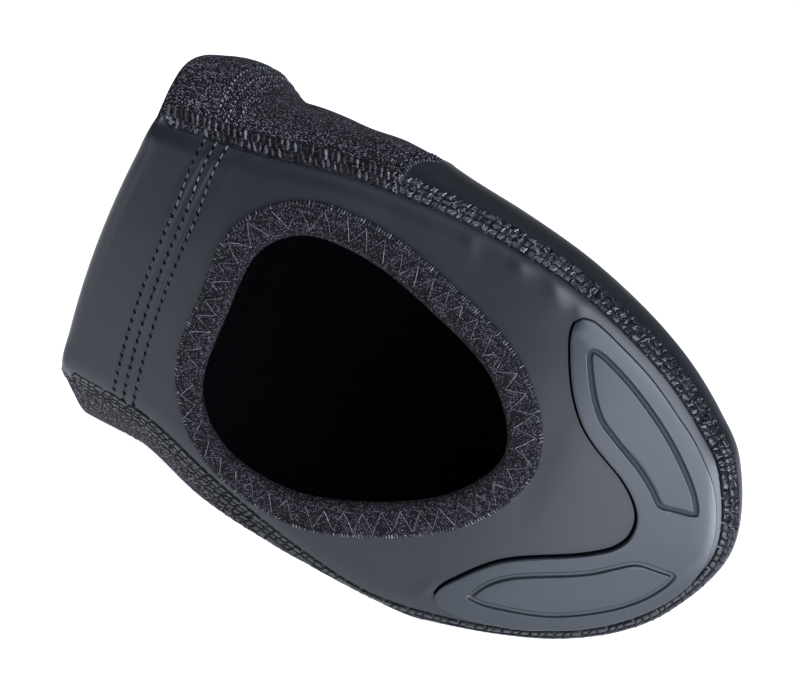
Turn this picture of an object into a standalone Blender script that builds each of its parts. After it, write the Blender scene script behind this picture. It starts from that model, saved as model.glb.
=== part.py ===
"""Toe cover for a cycling shoe, right foot: a stretch upper sewn to a coated sole panel.

Everything is shaped in the last's own frame, in millimetres: x runs from the collar to the toe,
y to the medial side, z up from the tread.  An empty then lays the cover on its medial side.
"""
import bpy
import numpy as np
from mathutils import Matrix

MM = 0.001


def table(names, *rows):
    """A short table as a dictionary of named columns."""
    return dict(zip(names.split(), np.array(rows, float).T))


# Thicknesses and clearances
UPPER_WALL = 1.8
SOLE_WALL = 2.0
HEM_EXTRA = 1.4
HEM_WIDTH = 22.0
HEM_STEP = 3.0
GAP = 0.3

# The feather line is the seam where sole panel and upper meet, seen from above
FEATHER = table(
    "x   lateral medial",
    (0, -34.6, 34.6),
    (24, -37.8, 37.0),
    (48, -42.0, 45.5),
    (72, -43.0, 52.4),
    (92, -41.8, 55.8),
    (110, -38.4, 54.3),
    (127, -31.9, 50.9),
    (141, -24.2, 46.2),
    (152, -15.6, 40.0),
    (160, -7.3, 32.0),
)
TOE_TIP = (167.4, 14.0)
COLLAR_BOW = 2.4

# Rocker of the tread: flat under the ball, lifted to the toe and a little to the collar
FLAT_FROM, FLAT_TO = 46.0, 94.0
COLLAR_LIFT = 4.5
TOE_SPRING = 14.0
EDGE_RADIUS = 9.0
EDGE_TILT = np.radians(48.0)

# Cross sections of the upper: the ridge, its height, and how far and how high each wall swells
SECTION = table(
    "x   ridge roof lateral_swell medial_swell lateral_widest medial_widest",
    (0, 0.0, 76.0, 12.0, 14.0, 33, 28),
    (20, 1.0, 73.5, 11.2, 12.5, 31, 26),
    (32, 2.0, 71.0, 6.6, 10.8, 26, 23),
    (42, 3.0, 68.5, 4.3, 9.0, 22, 21),
    (57, 5.0, 64.5, 3.8, 6.4, 20, 18),
    (72, 6.5, 60.0, 3.6, 4.2, 18, 15),
    (90, 8.0, 55.0, 2.9, 1.9, 15, 11),
    (110, 10.0, 49.0, 2.6, 1.2, 16, 12),
    (130, 12.0, 43.0, 2.7, 1.2, 18, 15),
    (168, 14.0, 31.0, 2.3, 1.0, 24, 22),
)
TOE_POLE = 126.0
DOME_POWER = 2.2

# The collar edge leans to the toe as it rises from the sole to the ridge
COLLAR = table(
    "level lateral medial",
    (0.00, 0.0, 0.0),
    (0.12, 0.0, 4.5),
    (0.25, 0.8, 8.0),
    (0.45, 6.0, 12.0),
    (0.70, 13.0, 16.0),
    (1.00, 18.0, 18.0),
)
COLLAR_REACH = 60.0

# Cleat cut-out, seen from above, and the folded tape that binds its edge
CUTOUT = table(
    "x   y",
    (34.7, 3.0),
    (36.0, 23.5),
    (46.0, 34.0),
    (64.0, 37.4),
    (86.0, 31.0),
    (103.0, 20.0),
    (109.4, 7.0),
    (100.0, -8.4),
    (79.0, -18.7),
    (60.0, -24.0),
    (45.0, -23.2),
    (36.6, -15.5),
)
TAPE = 1.2
TAPE_WIDTH = 8.4
TAPE_INSIDE = 6.5
TAPE_EDGE = 0.6
TAPE_STRIPS = 4

# Toe guard: a moulded overlay along the feather line, both arms alike.  Arc is measured along the
# feather line from the toe tip, the two edges and the leaf-shaped outline inwards from it
GUARD = table(
    "arc outer inner",
    (0, 3.9, 21.2),
    (10, 3.8, 21.6),
    (22, 3.8, 22.6),
    (36, 3.8, 23.6),
    (50, 3.9, 23.6),
    (60, 4.1, 21.5),
    (68, 4.6, 17.6),
    (74, 5.6, 13.0),
    (77, 7.0, 10.2),
    (78, 8.2, 8.8),
)
LEAF = table(
    "arc outer inner",
    (11, 7.2, 7.2),
    (18, 7.4, 16.4),
    (30, 7.8, 17.8),
    (45, 7.8, 18.5),
    (57, 7.9, 17.4),
    (66, 8.4, 12.6),
    (70, 9.4, 9.4),
)
GUARD_HEIGHT = 1.4
GUARD_BEVEL = 0.8
CHANNEL_WIDTH = 1.5
CHANNEL_DEPTH = 0.7

# The cover lies on its medial side: the floor plane leans in over the foot and splays to the ball
REST_LEAN = np.radians(6.0)
REST_SPLAY = np.radians(3.5)
REST_REACH = 49.7

# Mesh fineness
HOOPS = 22
FAN_RIBS = 23
LOW_LEVELS = 5
DOME_LEVELS = 10
REAR_POINTS = 12
CUTOUT_POINTS = 72
GUARD_STATIONS = 46
EDGE_RINGS = (1.2, 2.6, 4.4, 6.8)
PANEL_RINGS = 4
CORNER_SKEW = 15.0

COLOURS = {
    "upper": (0.035, 0.033, 0.044, 0.85),
    "sole_panel": (0.042, 0.054, 0.068, 0.40),
    "cleat_binding": (0.020, 0.019, 0.026, 0.90),
    "toe_guard": (0.100, 0.127, 0.159, 0.35),
}


def through(xs, ys, at):
    """Smooth cubic curve through a few points, with slopes taken from the neighbours."""
    slope = np.gradient(ys, xs)
    at = np.clip(at, xs[0], xs[-1])
    i = np.clip(np.searchsorted(xs, at) - 1, 0, len(xs) - 2)
    width = xs[i + 1] - xs[i]
    t = (at - xs[i]) / width
    rise = ys[i + 1] - ys[i]
    pull = (1 - t) * (slope[i] * width - rise) - t * (slope[i + 1] * width - rise)
    return ys[i] + t * rise + t * (1 - t) * pull


def value(rows, name, at, key="x"):
    return through(rows[key], rows[name], at)


def smoothstep(t):
    t = np.clip(t, 0, 1)
    return t * t * (3 - 2 * t)


def unit(vectors):
    return vectors / np.linalg.norm(vectors, axis=-1, keepdims=True)


class Outline:
    """A smooth plan curve through points, read by its arc length, with its left-hand normals."""

    FINE = 1600

    def __init__(self, points, closed=False):
        points = np.asarray(points, float)
        lap = np.vstack([points[-3:], points, points[:3]]) if closed else points
        chord = np.sqrt(np.linalg.norm(np.diff(lap, axis=0), axis=1))
        knots = np.concatenate([[0], np.cumsum(chord)])
        first, last = (knots[3], knots[-3]) if closed else (knots[0], knots[-1])
        at = np.linspace(first, last, self.FINE)
        self.points = np.stack([through(knots, lap[:, k], at) for k in (0, 1)], axis=1)
        steps = np.linalg.norm(np.diff(self.points, axis=0), axis=1)
        self.arc = np.concatenate([[0], np.cumsum(steps)])
        self.length = self.arc[-1]
        along = unit(np.gradient(self.points, axis=0))
        self.normals = np.stack([-along[:, 1], along[:, 0]], axis=1)

    def read(self, values, arc):
        return np.stack([np.interp(arc, self.arc, values[:, k]) for k in (0, 1)], axis=-1)

    def at(self, arc):
        return self.read(self.points, arc), unit(self.read(self.normals, arc))


def feather_outline():
    """From the medial end of the collar round the toe to its lateral end; the left is outside."""
    lateral = np.stack([FEATHER["x"], FEATHER["lateral"]], axis=1)
    medial = np.stack([FEATHER["x"], FEATHER["medial"]], axis=1)
    points = np.vstack([medial, [TOE_TIP], lateral[::-1]])
    return Outline(points)


SEAM = feather_outline()
TIP_ARC = SEAM.arc[np.argmax(SEAM.points[:, 0])]


def seam_arc(x, side):
    """Arc length where the feather line passes x, on the medial (1) or lateral (-1) side."""
    tip = np.argmax(SEAM.points[:, 0])
    part = slice(0, tip + 1) if side > 0 else slice(len(SEAM.arc) - 1, tip - 1, -1)
    return np.interp(x, SEAM.points[part, 0], SEAM.arc[part])


def inset(xy):
    """How far points in plan lie inside the feather line; negative outside it."""
    apart = xy[..., None, :] - SEAM.points
    nearest = np.argmin((apart ** 2).sum(-1), axis=-1)
    apart = np.take_along_axis(apart, nearest[..., None, None], axis=-2)[..., 0, :]
    return -(apart * SEAM.normals[nearest]).sum(-1)


def rocker(x):
    collar = COLLAR_LIFT * np.clip((FLAT_FROM - x) / FLAT_FROM, 0, None) ** 2
    toe = TOE_SPRING * np.clip((x - FLAT_TO) / (TOE_TIP[0] - FLAT_TO), 0, None) ** 2
    return collar + toe


def tread(xy):
    """Height of the sole panel's outer face: the rocker, rounded up towards the feather line."""
    reach = EDGE_RADIUS * np.sin(EDGE_TILT)
    into_edge = np.clip(reach - inset(xy), 0, 0.98 * EDGE_RADIUS)
    return rocker(xy[..., 0]) + EDGE_RADIUS - np.sqrt(EDGE_RADIUS ** 2 - into_edge ** 2)


def tread_normal(xy):
    """Outward, so downward, normal of the sole panel's outer face."""
    step = 0.05
    slopes = [(tread(xy + d) - tread(xy - d)) / (2 * step) for d in step * np.eye(2)]
    return unit(np.stack([slopes[0], slopes[1], -np.ones_like(slopes[0])], axis=-1))


def on_tread(xy, height=0.0):
    """Points of the sole's outer face, lifted off it by a height."""
    face = np.concatenate([xy, tread(xy)[..., None]], axis=-1)
    return face + tread_normal(xy) * np.asarray(height)[..., None]


def seam_tangent(arc):
    """Outward and upward direction of the surface where it crosses the feather line."""
    xy, out = SEAM.at(arc)
    normal = tread_normal(xy)
    rise = -(normal[..., :2] * out).sum(-1, keepdims=True) / normal[..., 2:]
    return unit(np.concatenate([out, rise], axis=-1))


def wall_value(name, x, medial_share):
    lateral = value(SECTION, "lateral_" + name, x)
    medial = value(SECTION, "medial_" + name, x)
    return lateral + (medial - lateral) * medial_share


def rib(arc):
    """Outer face of the upper from the feather line up to the ridge, on one line of points."""
    foot, out = SEAM.at(arc)
    x = foot[0]
    medial_share = smoothstep((TIP_ARC - arc) / 80 + 0.5)
    swell = wall_value("swell", x, medial_share)
    start = on_tread(foot)[2]
    climb = wall_value("widest", x, medial_share) - start
    tangent = seam_tangent(arc)
    steep = swell * tangent[2] / np.linalg.norm(tangent[:2])

    t = np.linspace(0, 1, LOW_LEVELS + 1)[:-1]
    low_out = swell * (2 * t - t * t)
    low_up = 2 * t * (1 - t) * steep + t * t * climb
    low = np.column_stack([foot + low_out[:, None] * out, start + low_up])
    low[0] += tangent * GAP / 2

    widest = foot + swell * out
    ridge_x = min(x, TOE_POLE)
    ridge = np.array([ridge_x, value(SECTION, "ridge", ridge_x)])
    angle = np.linspace(0, np.pi / 2, DOME_LEVELS + 1)
    across = np.clip(np.cos(angle), 0, None) ** (2 / DOME_POWER)
    upwards = np.sin(angle) ** (2 / DOME_POWER)
    plan = ridge + across[:, None] * (widest - ridge)
    roof = value(SECTION, "roof", plan[:, 0])
    dome = np.column_stack([plan, start + climb + (roof - start - climb) * upwards])

    points = np.vstack([low, dome])
    level = (points[:, 2] - start) / (points[-1, 2] - start)
    lean = value(COLLAR, "lateral", level, "level") * (1 - medial_share)
    lean += value(COLLAR, "medial", level, "level") * medial_share
    points[:, 0] += lean * np.clip(1 - x / COLLAR_REACH, 0, 1) ** 1.5
    return points


def hem_wall(wall, x):
    """Wall thickness, doubled where the collar's edge is turned in."""
    return wall + HEM_EXTRA * smoothstep((HEM_WIDTH - x) / HEM_STEP + 0.5)


def rib_arcs():
    """Arc lengths of the ribs: paired hoops behind the toe pole, a fan in front of it."""
    stations = np.linspace(0, TOE_POLE, HOOPS)
    medial = seam_arc(stations, 1)
    lateral = seam_arc(stations, -1)[::-1]
    fan = np.linspace(medial[-1], lateral[0], FAN_RIBS + 2)[1:-1]
    return np.concatenate([medial, fan, lateral])


def vertex_normals(points, faces):
    total = np.zeros_like(points)
    for face in faces:
        corner = points[face]
        following = np.roll(corner, -1, axis=0)
        total[face] += np.cross(corner, following).sum(axis=0)
    return unit(total)


def settle(front, back):
    """Flatten a wall where it lies on the floor; its inner face moves by the same amount."""
    down = -rest_axes()[:, 2]
    sunk = np.clip(front @ down - REST_REACH, 0, None)[:, None] * down
    return front - sunk, back - sunk


def joined_sheets(front, back, faces):
    """One closed solid from two like sheets, walled along their open edges."""
    count = len(front)
    solid = [tuple(face) for face in faces]
    solid += [tuple(i + count for i in reversed(face)) for face in faces]
    edges = {(a, b) for face in faces for a, b in zip(face, np.roll(face, -1))}
    open_edges = sorted((a, b) for a, b in edges if (b, a) not in edges)
    solid += [(b, a, a + count, b + count) for a, b in open_edges]
    return np.vstack([front, back]), solid


def upper_solid():
    arcs = rib_arcs()
    ribs = np.array([rib(arc) for arc in arcs])
    levels = ribs.shape[1]
    index = np.arange(len(arcs) * levels).reshape(len(arcs), levels)
    last = len(arcs) - 1
    for i in range(len(arcs)):
        index[i, -1] = index[min(i, HOOPS - 1, last - i), -1]
    faces = []
    for i in range(last):
        for k in range(levels - 1):
            face = [index[i, k], index[i, k + 1], index[i + 1, k + 1], index[i + 1, k]]
            faces.append([v for n, v in enumerate(face) if v != face[n - 1]])
    kept = np.unique(index)
    renumber = {old: new for new, old in enumerate(kept)}
    faces = [[renumber[v] for v in face] for face in faces]
    front = ribs.reshape(-1, 3)[kept]
    normals = vertex_normals(front, faces)
    seam_row = [renumber[v] for v in index[:, 0]]
    normals[seam_row] = tread_normal(SEAM.at(arcs)[0])
    station = np.repeat(SEAM.at(arcs)[0][:, 0], levels)[kept]
    wall = hem_wall(UPPER_WALL, station)
    front, back = settle(front, front - normals * wall[:, None])
    return joined_sheets(front, back, faces)


def sole_rim():
    """The sole panel's edge all round: points, and the directions in which its rings step inwards."""
    arcs = rib_arcs()
    foot, out = SEAM.at(arcs)
    skew = np.clip(1 - foot[:, 0] / CORNER_SKEW, 0, 1)
    seam_in = -out + skew[:, None] * np.array([1.0, 0.0])
    corner = FEATHER["medial"][0]
    y = np.linspace(FEATHER["lateral"][0], corner, REAR_POINTS + 2)[1:-1]
    rear = np.stack([-COLLAR_BOW * (1 - (y / corner) ** 2), y], axis=1)
    rear_skew = np.clip(1 - (corner - abs(y)) / CORNER_SKEW, 0, 1)
    rear_in = np.stack([np.ones_like(y), -np.sign(y) * rear_skew], axis=1)
    return np.vstack([foot, rear]), np.vstack([seam_in, rear_in]), len(arcs)


def sole_panel_solid():
    rim, inwards, seam_count = sole_rim()
    count = len(rim)
    cutout = Outline(np.stack([CUTOUT["x"], CUTOUT["y"]], axis=1), closed=True)
    edge, out = cutout.at(np.linspace(0, cutout.length, count + 1)[:-1])
    edge = edge + out * (TAPE + GAP)

    rear_middle = seam_count + REAR_POINTS // 2
    rim_start = np.roll(np.arange(count), -rear_middle)
    rings = [rim[rim_start]]
    rings += [(rim + inwards * step)[rim_start] for step in EDGE_RINGS]
    for share in np.linspace(0, 1, PANEL_RINGS + 1)[1:]:
        rings.append(rings[len(EDGE_RINGS)] * (1 - share) + edge * share)
    plan = np.array(rings)
    front = on_tread(plan)
    normals = tread_normal(plan)
    tangents = seam_tangent(rib_arcs())
    for slot, source in enumerate(rim_start):
        if source < seam_count:
            front[0, slot] -= tangents[source] * GAP / 2
    index = np.arange(plan[..., 0].size).reshape(plan.shape[:2])
    faces = []
    for r in range(len(plan) - 1):
        for i in range(count):
            j = (i + 1) % count
            faces.append([index[r, i], index[r, j], index[r + 1, j], index[r + 1, i]])
    wall = hem_wall(SOLE_WALL, plan[..., 0].ravel())
    front = front.reshape(-1, 3)
    front, back = settle(front, front - normals.reshape(-1, 3) * wall[:, None])
    return joined_sheets(front, back, faces)


def tape_profile():
    """Folded tape in section: outwards from the cut-out's edge, and up from the sole's outer face."""
    top = GAP + TAPE
    under = -SOLE_WALL - GAP
    bottom = under - TAPE
    lie = np.linspace(TAPE_WIDTH, TAPE, TAPE_STRIPS + 1)
    outer_leg = [(reach, GAP) for reach in lie[::-1]]
    outer_leg += [(TAPE_WIDTH, GAP + TAPE_EDGE)]
    outer_leg += [(reach, top) for reach in (TAPE_WIDTH - TAPE_EDGE, *lie[1:-1])]
    fold = [(TAPE, top), (TAPE / 4, top - TAPE / 2), (0.0, -SOLE_WALL / 2), (TAPE / 4, bottom + TAPE / 2)]
    inner_leg = [(TAPE, bottom), (TAPE_INSIDE, bottom), (TAPE_INSIDE, under), (TAPE, under)]
    return outer_leg + fold + inner_leg


def cleat_binding_solid():
    cutout = Outline(np.stack([CUTOUT["x"], CUTOUT["y"]], axis=1), closed=True)
    edge, out = cutout.at(np.linspace(0, cutout.length, CUTOUT_POINTS + 1)[:-1])
    profile = tape_profile()
    rows = [on_tread(edge + out * reach, np.full(CUTOUT_POINTS, height)) for reach, height in profile]
    points = np.array(rows)
    index = np.arange(len(profile) * CUTOUT_POINTS).reshape(len(profile), CUTOUT_POINTS)
    faces = []
    for r in range(len(profile)):
        for i in range(CUTOUT_POINTS):
            j = (i + 1) % CUTOUT_POINTS
            s = (r + 1) % len(profile)
            faces.append((index[r, i], index[r, j], index[s, j], index[s, i]))
    return points.reshape(-1, 3), faces


def guard_levels(arc):
    """Insets and heights across one guard arm: bevelled edges, and the channel that outlines the leaf."""
    outer = value(GUARD, "outer", arc, "arc")
    inner = value(GUARD, "inner", arc, "arc")
    bevel = min(GUARD_BEVEL, (inner - outer) / 4)
    leaf_outer, leaf_inner = np.clip(
        [value(LEAF, edge, arc, "arc") for edge in ("outer", "inner")], outer + 2 * bevel, inner - bevel)
    width = leaf_inner - leaf_outer
    channel = min(CHANNEL_WIDTH, width / 3)
    top = GUARD_HEIGHT
    floor = top - CHANNEL_DEPTH * channel / CHANNEL_WIDTH
    return (
        (outer, top / 2),
        (outer + bevel, top),
        ((outer + bevel + leaf_outer) / 2, top),
        (leaf_outer, top),
        (leaf_outer + channel / 2, floor),
        (leaf_outer + channel, top),
        ((leaf_outer + leaf_inner) / 2, top),
        (leaf_inner - channel, top),
        (leaf_inner - channel / 2, floor),
        (leaf_inner, top),
        (inner - bevel, top),
        (inner, top / 2),
    )


def toe_guard_solid():
    reach = GUARD["arc"][-1]
    ends = np.sin(np.linspace(-np.pi / 2, np.pi / 2, GUARD_STATIONS)) * 0.35
    arcs = reach * (ends + np.linspace(-1, 1, GUARD_STATIONS) * 0.65)
    fronts, backs = [], []
    for arc in arcs:
        foot, out = SEAM.at(TIP_ARC + arc)
        levels = np.array(guard_levels(abs(arc)))
        plan = foot - levels[:, :1] * out
        fronts.append(on_tread(plan, GAP + levels[:, 1]))
        backs.append(on_tread(plan, np.full(len(levels), GAP)))
    front, back = np.array(fronts), np.array(backs)
    rows, columns = front.shape[:2]
    index = np.arange(rows * columns).reshape(rows, columns)
    faces = []
    for i in range(rows - 1):
        for k in range(columns - 1):
            faces.append([index[i, k], index[i + 1, k], index[i + 1, k + 1], index[i, k + 1]])
    return joined_sheets(front.reshape(-1, 3), back.reshape(-1, 3), faces)


def rest_axes():
    """World axes in the last's frame, as columns: X to the toe along the floor, Z off the floor."""
    down = unit(np.array([-np.tan(REST_SPLAY), 1.0, np.tan(REST_LEAN)]))
    forward = np.array([1.0, 0.0, 0.0])
    forward = unit(forward - (forward @ down) * down)
    return np.stack([forward, np.cross(-down, forward), -down], axis=1)


def finish(name):
    red, green, blue, roughness = COLOURS[name]
    material = bpy.data.materials.new(name)
    material.use_nodes = True
    shader = material.node_tree.nodes["Principled BSDF"]
    shader.inputs["Base Color"].default_value = (red, green, blue, 1)
    shader.inputs["Roughness"].default_value = roughness
    shader.inputs["Metallic"].default_value = 0
    return material


def add_solid(name, solid, parent):
    points, faces = solid
    mesh = bpy.data.meshes.new(name)
    mesh.from_pydata((points * MM).tolist(), [], [tuple(int(v) for v in face) for face in faces])
    mesh.shade_smooth()
    mesh.set_sharp_from_angle(angle=np.radians(35))
    mesh.materials.append(finish(name))
    thing = bpy.data.objects.new(name, mesh)
    thing.parent = parent
    bpy.context.collection.objects.link(thing)
    return points


def main():
    for thing in list(bpy.data.objects):
        bpy.data.objects.remove(thing, do_unlink=True)
    laid = bpy.data.objects.new("laid_on_its_side", None)
    bpy.context.collection.objects.link(laid)
    solids = {
        "upper": upper_solid(),
        "sole_panel": sole_panel_solid(),
        "cleat_binding": cleat_binding_solid(),
        "toe_guard": toe_guard_solid(),
    }
    points = np.vstack([add_solid(name, solid, laid) for name, solid in solids.items()])
    axes = rest_axes()
    world = points @ axes
    low, high = world.min(axis=0), world.max(axis=0)
    shift = -np.array([(low[0] + high[0]) / 2, (low[1] + high[1]) / 2, low[2]])
    turn = Matrix(axes.T.tolist()).to_4x4()
    laid.matrix_world = Matrix.Translation((shift * MM).tolist()) @ turn


main()
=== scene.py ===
# %% [markdown]
# A toe cover for a cycling shoe, right foot.  It is sewn from a stretch knit, a coated cloth over
# the toe and a coated sole panel with a taped cut-out for the cleat, and a moulded guard is bonded
# on at the toe.  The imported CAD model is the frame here: its four solids stay where they are, and
# each piece below is the same shape made finer, with its folds, seams and threads.

import bmesh
import bpy
import numpy as np
from mathutils import Matrix, Vector


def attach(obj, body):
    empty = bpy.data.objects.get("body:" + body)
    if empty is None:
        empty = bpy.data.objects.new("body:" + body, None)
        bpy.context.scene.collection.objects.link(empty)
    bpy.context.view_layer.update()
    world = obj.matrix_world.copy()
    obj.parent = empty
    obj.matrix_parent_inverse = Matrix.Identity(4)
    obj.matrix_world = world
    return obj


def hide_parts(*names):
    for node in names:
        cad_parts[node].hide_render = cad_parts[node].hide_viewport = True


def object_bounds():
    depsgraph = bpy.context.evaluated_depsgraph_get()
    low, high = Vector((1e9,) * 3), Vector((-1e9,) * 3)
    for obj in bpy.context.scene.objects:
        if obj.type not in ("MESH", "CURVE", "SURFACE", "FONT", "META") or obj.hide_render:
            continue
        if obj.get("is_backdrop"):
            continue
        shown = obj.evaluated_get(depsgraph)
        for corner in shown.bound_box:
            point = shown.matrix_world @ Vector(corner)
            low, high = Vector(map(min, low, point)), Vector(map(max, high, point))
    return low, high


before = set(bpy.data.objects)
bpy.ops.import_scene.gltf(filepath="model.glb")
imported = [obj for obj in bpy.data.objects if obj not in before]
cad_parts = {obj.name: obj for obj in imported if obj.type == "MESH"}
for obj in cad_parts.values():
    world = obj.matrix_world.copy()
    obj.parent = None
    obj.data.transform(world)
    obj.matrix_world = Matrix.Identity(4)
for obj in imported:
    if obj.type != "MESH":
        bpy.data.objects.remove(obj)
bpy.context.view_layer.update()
MM = 0.001

# %% [markdown]
# Everything is shaped on the last, the foot form that the cover is cut for, in millimetres: x runs
# from the collar to the toe, y to the medial side, z up from the tread.  A few rows with named
# columns and a smooth curve through them say more than a long list of points, so a small table
# function and a cubic curve come first.

# %% Curves through short tables
def table(names, *rows):
    """A short table as a dictionary of named columns."""
    return dict(zip(names.split(), np.array(rows, float).T))


def through(xs, ys, at):
    """Smooth cubic curve through a few points, with slopes taken from the neighbours."""
    slope = np.gradient(ys, xs)
    at = np.clip(at, xs[0], xs[-1])
    i = np.clip(np.searchsorted(xs, at) - 1, 0, len(xs) - 2)
    width = xs[i + 1] - xs[i]
    t = (at - xs[i]) / width
    rise = ys[i + 1] - ys[i]
    pull = (1 - t) * (slope[i] * width - rise) - t * (slope[i + 1] * width - rise)
    return ys[i] + t * rise + t * (1 - t) * pull


def value(rows, name, at, key="x"):
    return through(rows[key], rows[name], at)


def smoothstep(t):
    t = np.clip(t, 0, 1)
    return t * t * (3 - 2 * t)


def unit(vectors):
    return vectors / np.linalg.norm(vectors, axis=-1, keepdims=True)


def run_along(points):
    """Distance run along rows of points, from 0 at the first."""
    steps = np.linalg.norm(np.diff(points, axis=0), axis=-1)
    return np.concatenate([np.zeros_like(steps[:1]), np.cumsum(steps, axis=0)])


def read_along(at, run, rows):
    """Rows of numbers, read at places along their run."""
    return np.stack([np.interp(at, run, column) for column in rows.T], axis=-1)


def joined(plan, height):
    """Plan points and heights as points in space."""
    return np.concatenate([plan, np.asarray(height)[..., None]], axis=-1)


print("a curve through 0, 1, 0 starts with", through(np.arange(3.0), np.array([0.0, 1.0, 0.0]), 0.5))

# %% [markdown]
# The last has the CAD's own numbers: the feather line in plan, the sections that stand on it and the
# lean of the collar.  Only the slack is new, how far the empty cloth stands off the last.

# %% The last in numbers
FEATHER = table(
    "x   lateral medial",
    (0, -34.6, 34.6),
    (24, -37.8, 37.0),
    (48, -42.0, 45.5),
    (72, -43.0, 52.4),
    (92, -41.8, 55.8),
    (110, -38.4, 54.3),
    (127, -31.9, 50.9),
    (141, -24.2, 46.2),
    (152, -15.6, 40.0),
    (160, -7.3, 32.0),
)
TOE_TIP = (167.4, 14.0)
COLLAR_BOW = 2.4
FLAT_FROM, FLAT_TO = 46.0, 94.0
COLLAR_LIFT = 4.5
TOE_SPRING = 14.0
EDGE_RADIUS = 9.0
EDGE_TILT = np.radians(48.0)
SECTION = table(
    "x   ridge roof lateral_swell medial_swell lateral_widest medial_widest",
    (0, 0.0, 76.0, 12.0, 14.0, 33, 28),
    (20, 1.0, 73.5, 11.2, 12.5, 31, 26),
    (32, 2.0, 71.0, 6.6, 10.8, 26, 23),
    (42, 3.0, 68.5, 4.3, 9.0, 22, 21),
    (57, 5.0, 64.5, 3.8, 6.4, 20, 18),
    (72, 6.5, 60.0, 3.6, 4.2, 18, 15),
    (90, 8.0, 55.0, 2.9, 1.9, 15, 11),
    (110, 10.0, 49.0, 2.6, 1.2, 16, 12),
    (130, 12.0, 43.0, 2.7, 1.2, 18, 15),
    (168, 14.0, 31.0, 2.3, 1.0, 24, 22),
)
print("last:", TOE_TIP[0] + COLLAR_BOW, "mm from collar to toe, in", len(SECTION["x"]), "sections")

# %% The slack, the collar and the walls
SLACK = table(
    "x   lateral medial",
    (0, 0.2, 0.7),
    (7, 1.2, 0.7),
    (14, 0.3, 0.7),
    (20, -2.2, 0.7),
    (25, -2.2, 0.8),
    (31, 0.0, 1.0),
    (40, 1.6, 1.6),
    (48, 1.5, 2.4),
    (57, 1.7, 3.2),
    (66, 1.0, 3.2),
    (75, -0.1, 2.8),
    (90, -0.3, 1.6),
    (110, -0.8, 0.0),
    (140, -0.6, 0.0),
    (168, 0.0, 0.0),
)
TOE_POLE = 126.0
DOME_POWER = 2.2
SIDE_CHANGE = 80.0
COLLAR = table(
    "level lateral medial",
    (0.00, 0.0, 0.0),
    (0.12, 0.0, 4.5),
    (0.25, 0.8, 8.0),
    (0.45, 6.0, 12.0),
    (0.70, 13.0, 16.0),
    (1.00, 18.0, 18.0),
)
COLLAR_REACH, COLLAR_FADE = 60.0, 1.5
UPPER_WALL, SOLE_WALL = 1.8, 2.0
HEM_EXTRA, HEM_WIDTH, HEM_STEP = 1.4, 22.0, 3.0
print("slack from", SLACK["lateral"].min(), "to", SLACK["medial"].max(), "mm")

# %% [markdown]
# The feather line is the seam between sole panel and upper.  It is read by its arc length, from the
# medial end of the collar round the toe to the lateral end, with the outward direction on its left.
# A Bezier curve object could hold it, but everything that is sewn along it needs places and
# directions as numbers, so it is a small class with a dense row of points.

# %% The feather line
class Outline:
    """A smooth plan curve through points, read by its arc length, with its left-hand normals."""

    FINE = 1600
    CHUNK = 1500

    def __init__(self, points, closed=False):
        points = np.asarray(points, float)
        lap = np.vstack([points[-3:], points, points[:3]]) if closed else points
        chord = np.sqrt(np.linalg.norm(np.diff(lap, axis=0), axis=1))
        knots = np.concatenate([[0], np.cumsum(chord)])
        first, last = (knots[3], knots[-3]) if closed else (knots[0], knots[-1])
        at = np.linspace(first, last, self.FINE)
        self.points = np.stack([through(knots, lap[:, k], at) for k in (0, 1)], axis=1)
        self.arc = run_along(self.points)
        self.length = self.arc[-1]
        along = unit(np.gradient(self.points, axis=0))
        self.normals = np.stack([-along[:, 1], along[:, 0]], axis=1)

    def at(self, arc):
        return read_along(arc, self.arc, self.points), unit(read_along(arc, self.arc, self.normals))

    def nearest(self, xy):
        """Way from the curve's nearest point to each plan point, and the curve's normal there."""
        flat = np.reshape(xy, (-1, 2))
        ways, normals = [], []
        for part in np.array_split(flat, len(flat) // self.CHUNK + 1):
            apart = part[:, None, :] - self.points
            near = np.argmin((apart ** 2).sum(-1), axis=1)
            ways.append(apart[np.arange(len(part)), near])
            normals.append(self.normals[near])
        return [np.concatenate(rows).reshape(np.shape(xy)) for rows in (ways, normals)]


def in_plan(rows, across="y"):
    """Two columns of a table as points in plan."""
    return np.stack([rows["x"], rows[across]], axis=1)


SEAM = Outline(np.vstack([in_plan(FEATHER, "medial"), [TOE_TIP], in_plan(FEATHER, "lateral")[::-1]]))
TIP = np.argmax(SEAM.points[:, 0])
TIP_ARC = SEAM.arc[TIP]


def seam_arc(x, side):
    """Arc length where the feather line passes x, on the medial (1) or lateral (-1) side."""
    medial = np.interp(x, SEAM.points[:TIP + 1, 0], SEAM.arc[:TIP + 1])
    lateral = np.interp(x, SEAM.points[:TIP - 1:-1, 0], SEAM.arc[:TIP - 1:-1])
    return np.where(np.asarray(side) > 0, medial, lateral)


print("feather line:", round(SEAM.length, 1), "mm, toe tip at", round(TIP_ARC, 1), "mm")

# %% [markdown]
# The tread is flat under the ball, lifts to the toe and a little to the collar, and rounds up into
# the feather line with a radius of 9 mm.  A plate with a Bevel would have the round edge but not the
# lift, so the height is worked out from how far a point lies inside the line.  The cloth is drawn over
# the last and crowns by 1 mm at the toe and 2.6 mm at the collar, which the satin film shows as a slow
# change of tone from edge to edge.

# %% The tread
CROWN = table("x height", (0, 2.6), (40, 1.9), (80, 1.2), (168, 1.0))
CROWN_REACH = 32.0
EDGE_STEEPEST = 0.98


def inset(xy):
    """How far points in plan lie inside the feather line; negative outside it."""
    way, normals = SEAM.nearest(xy)
    return -(way * normals).sum(-1)


def rocker(x):
    collar = COLLAR_LIFT * np.clip((FLAT_FROM - x) / FLAT_FROM, 0, None) ** 2
    toe = TOE_SPRING * np.clip((x - FLAT_TO) / (TOE_TIP[0] - FLAT_TO), 0, None) ** 2
    return collar + toe


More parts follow.
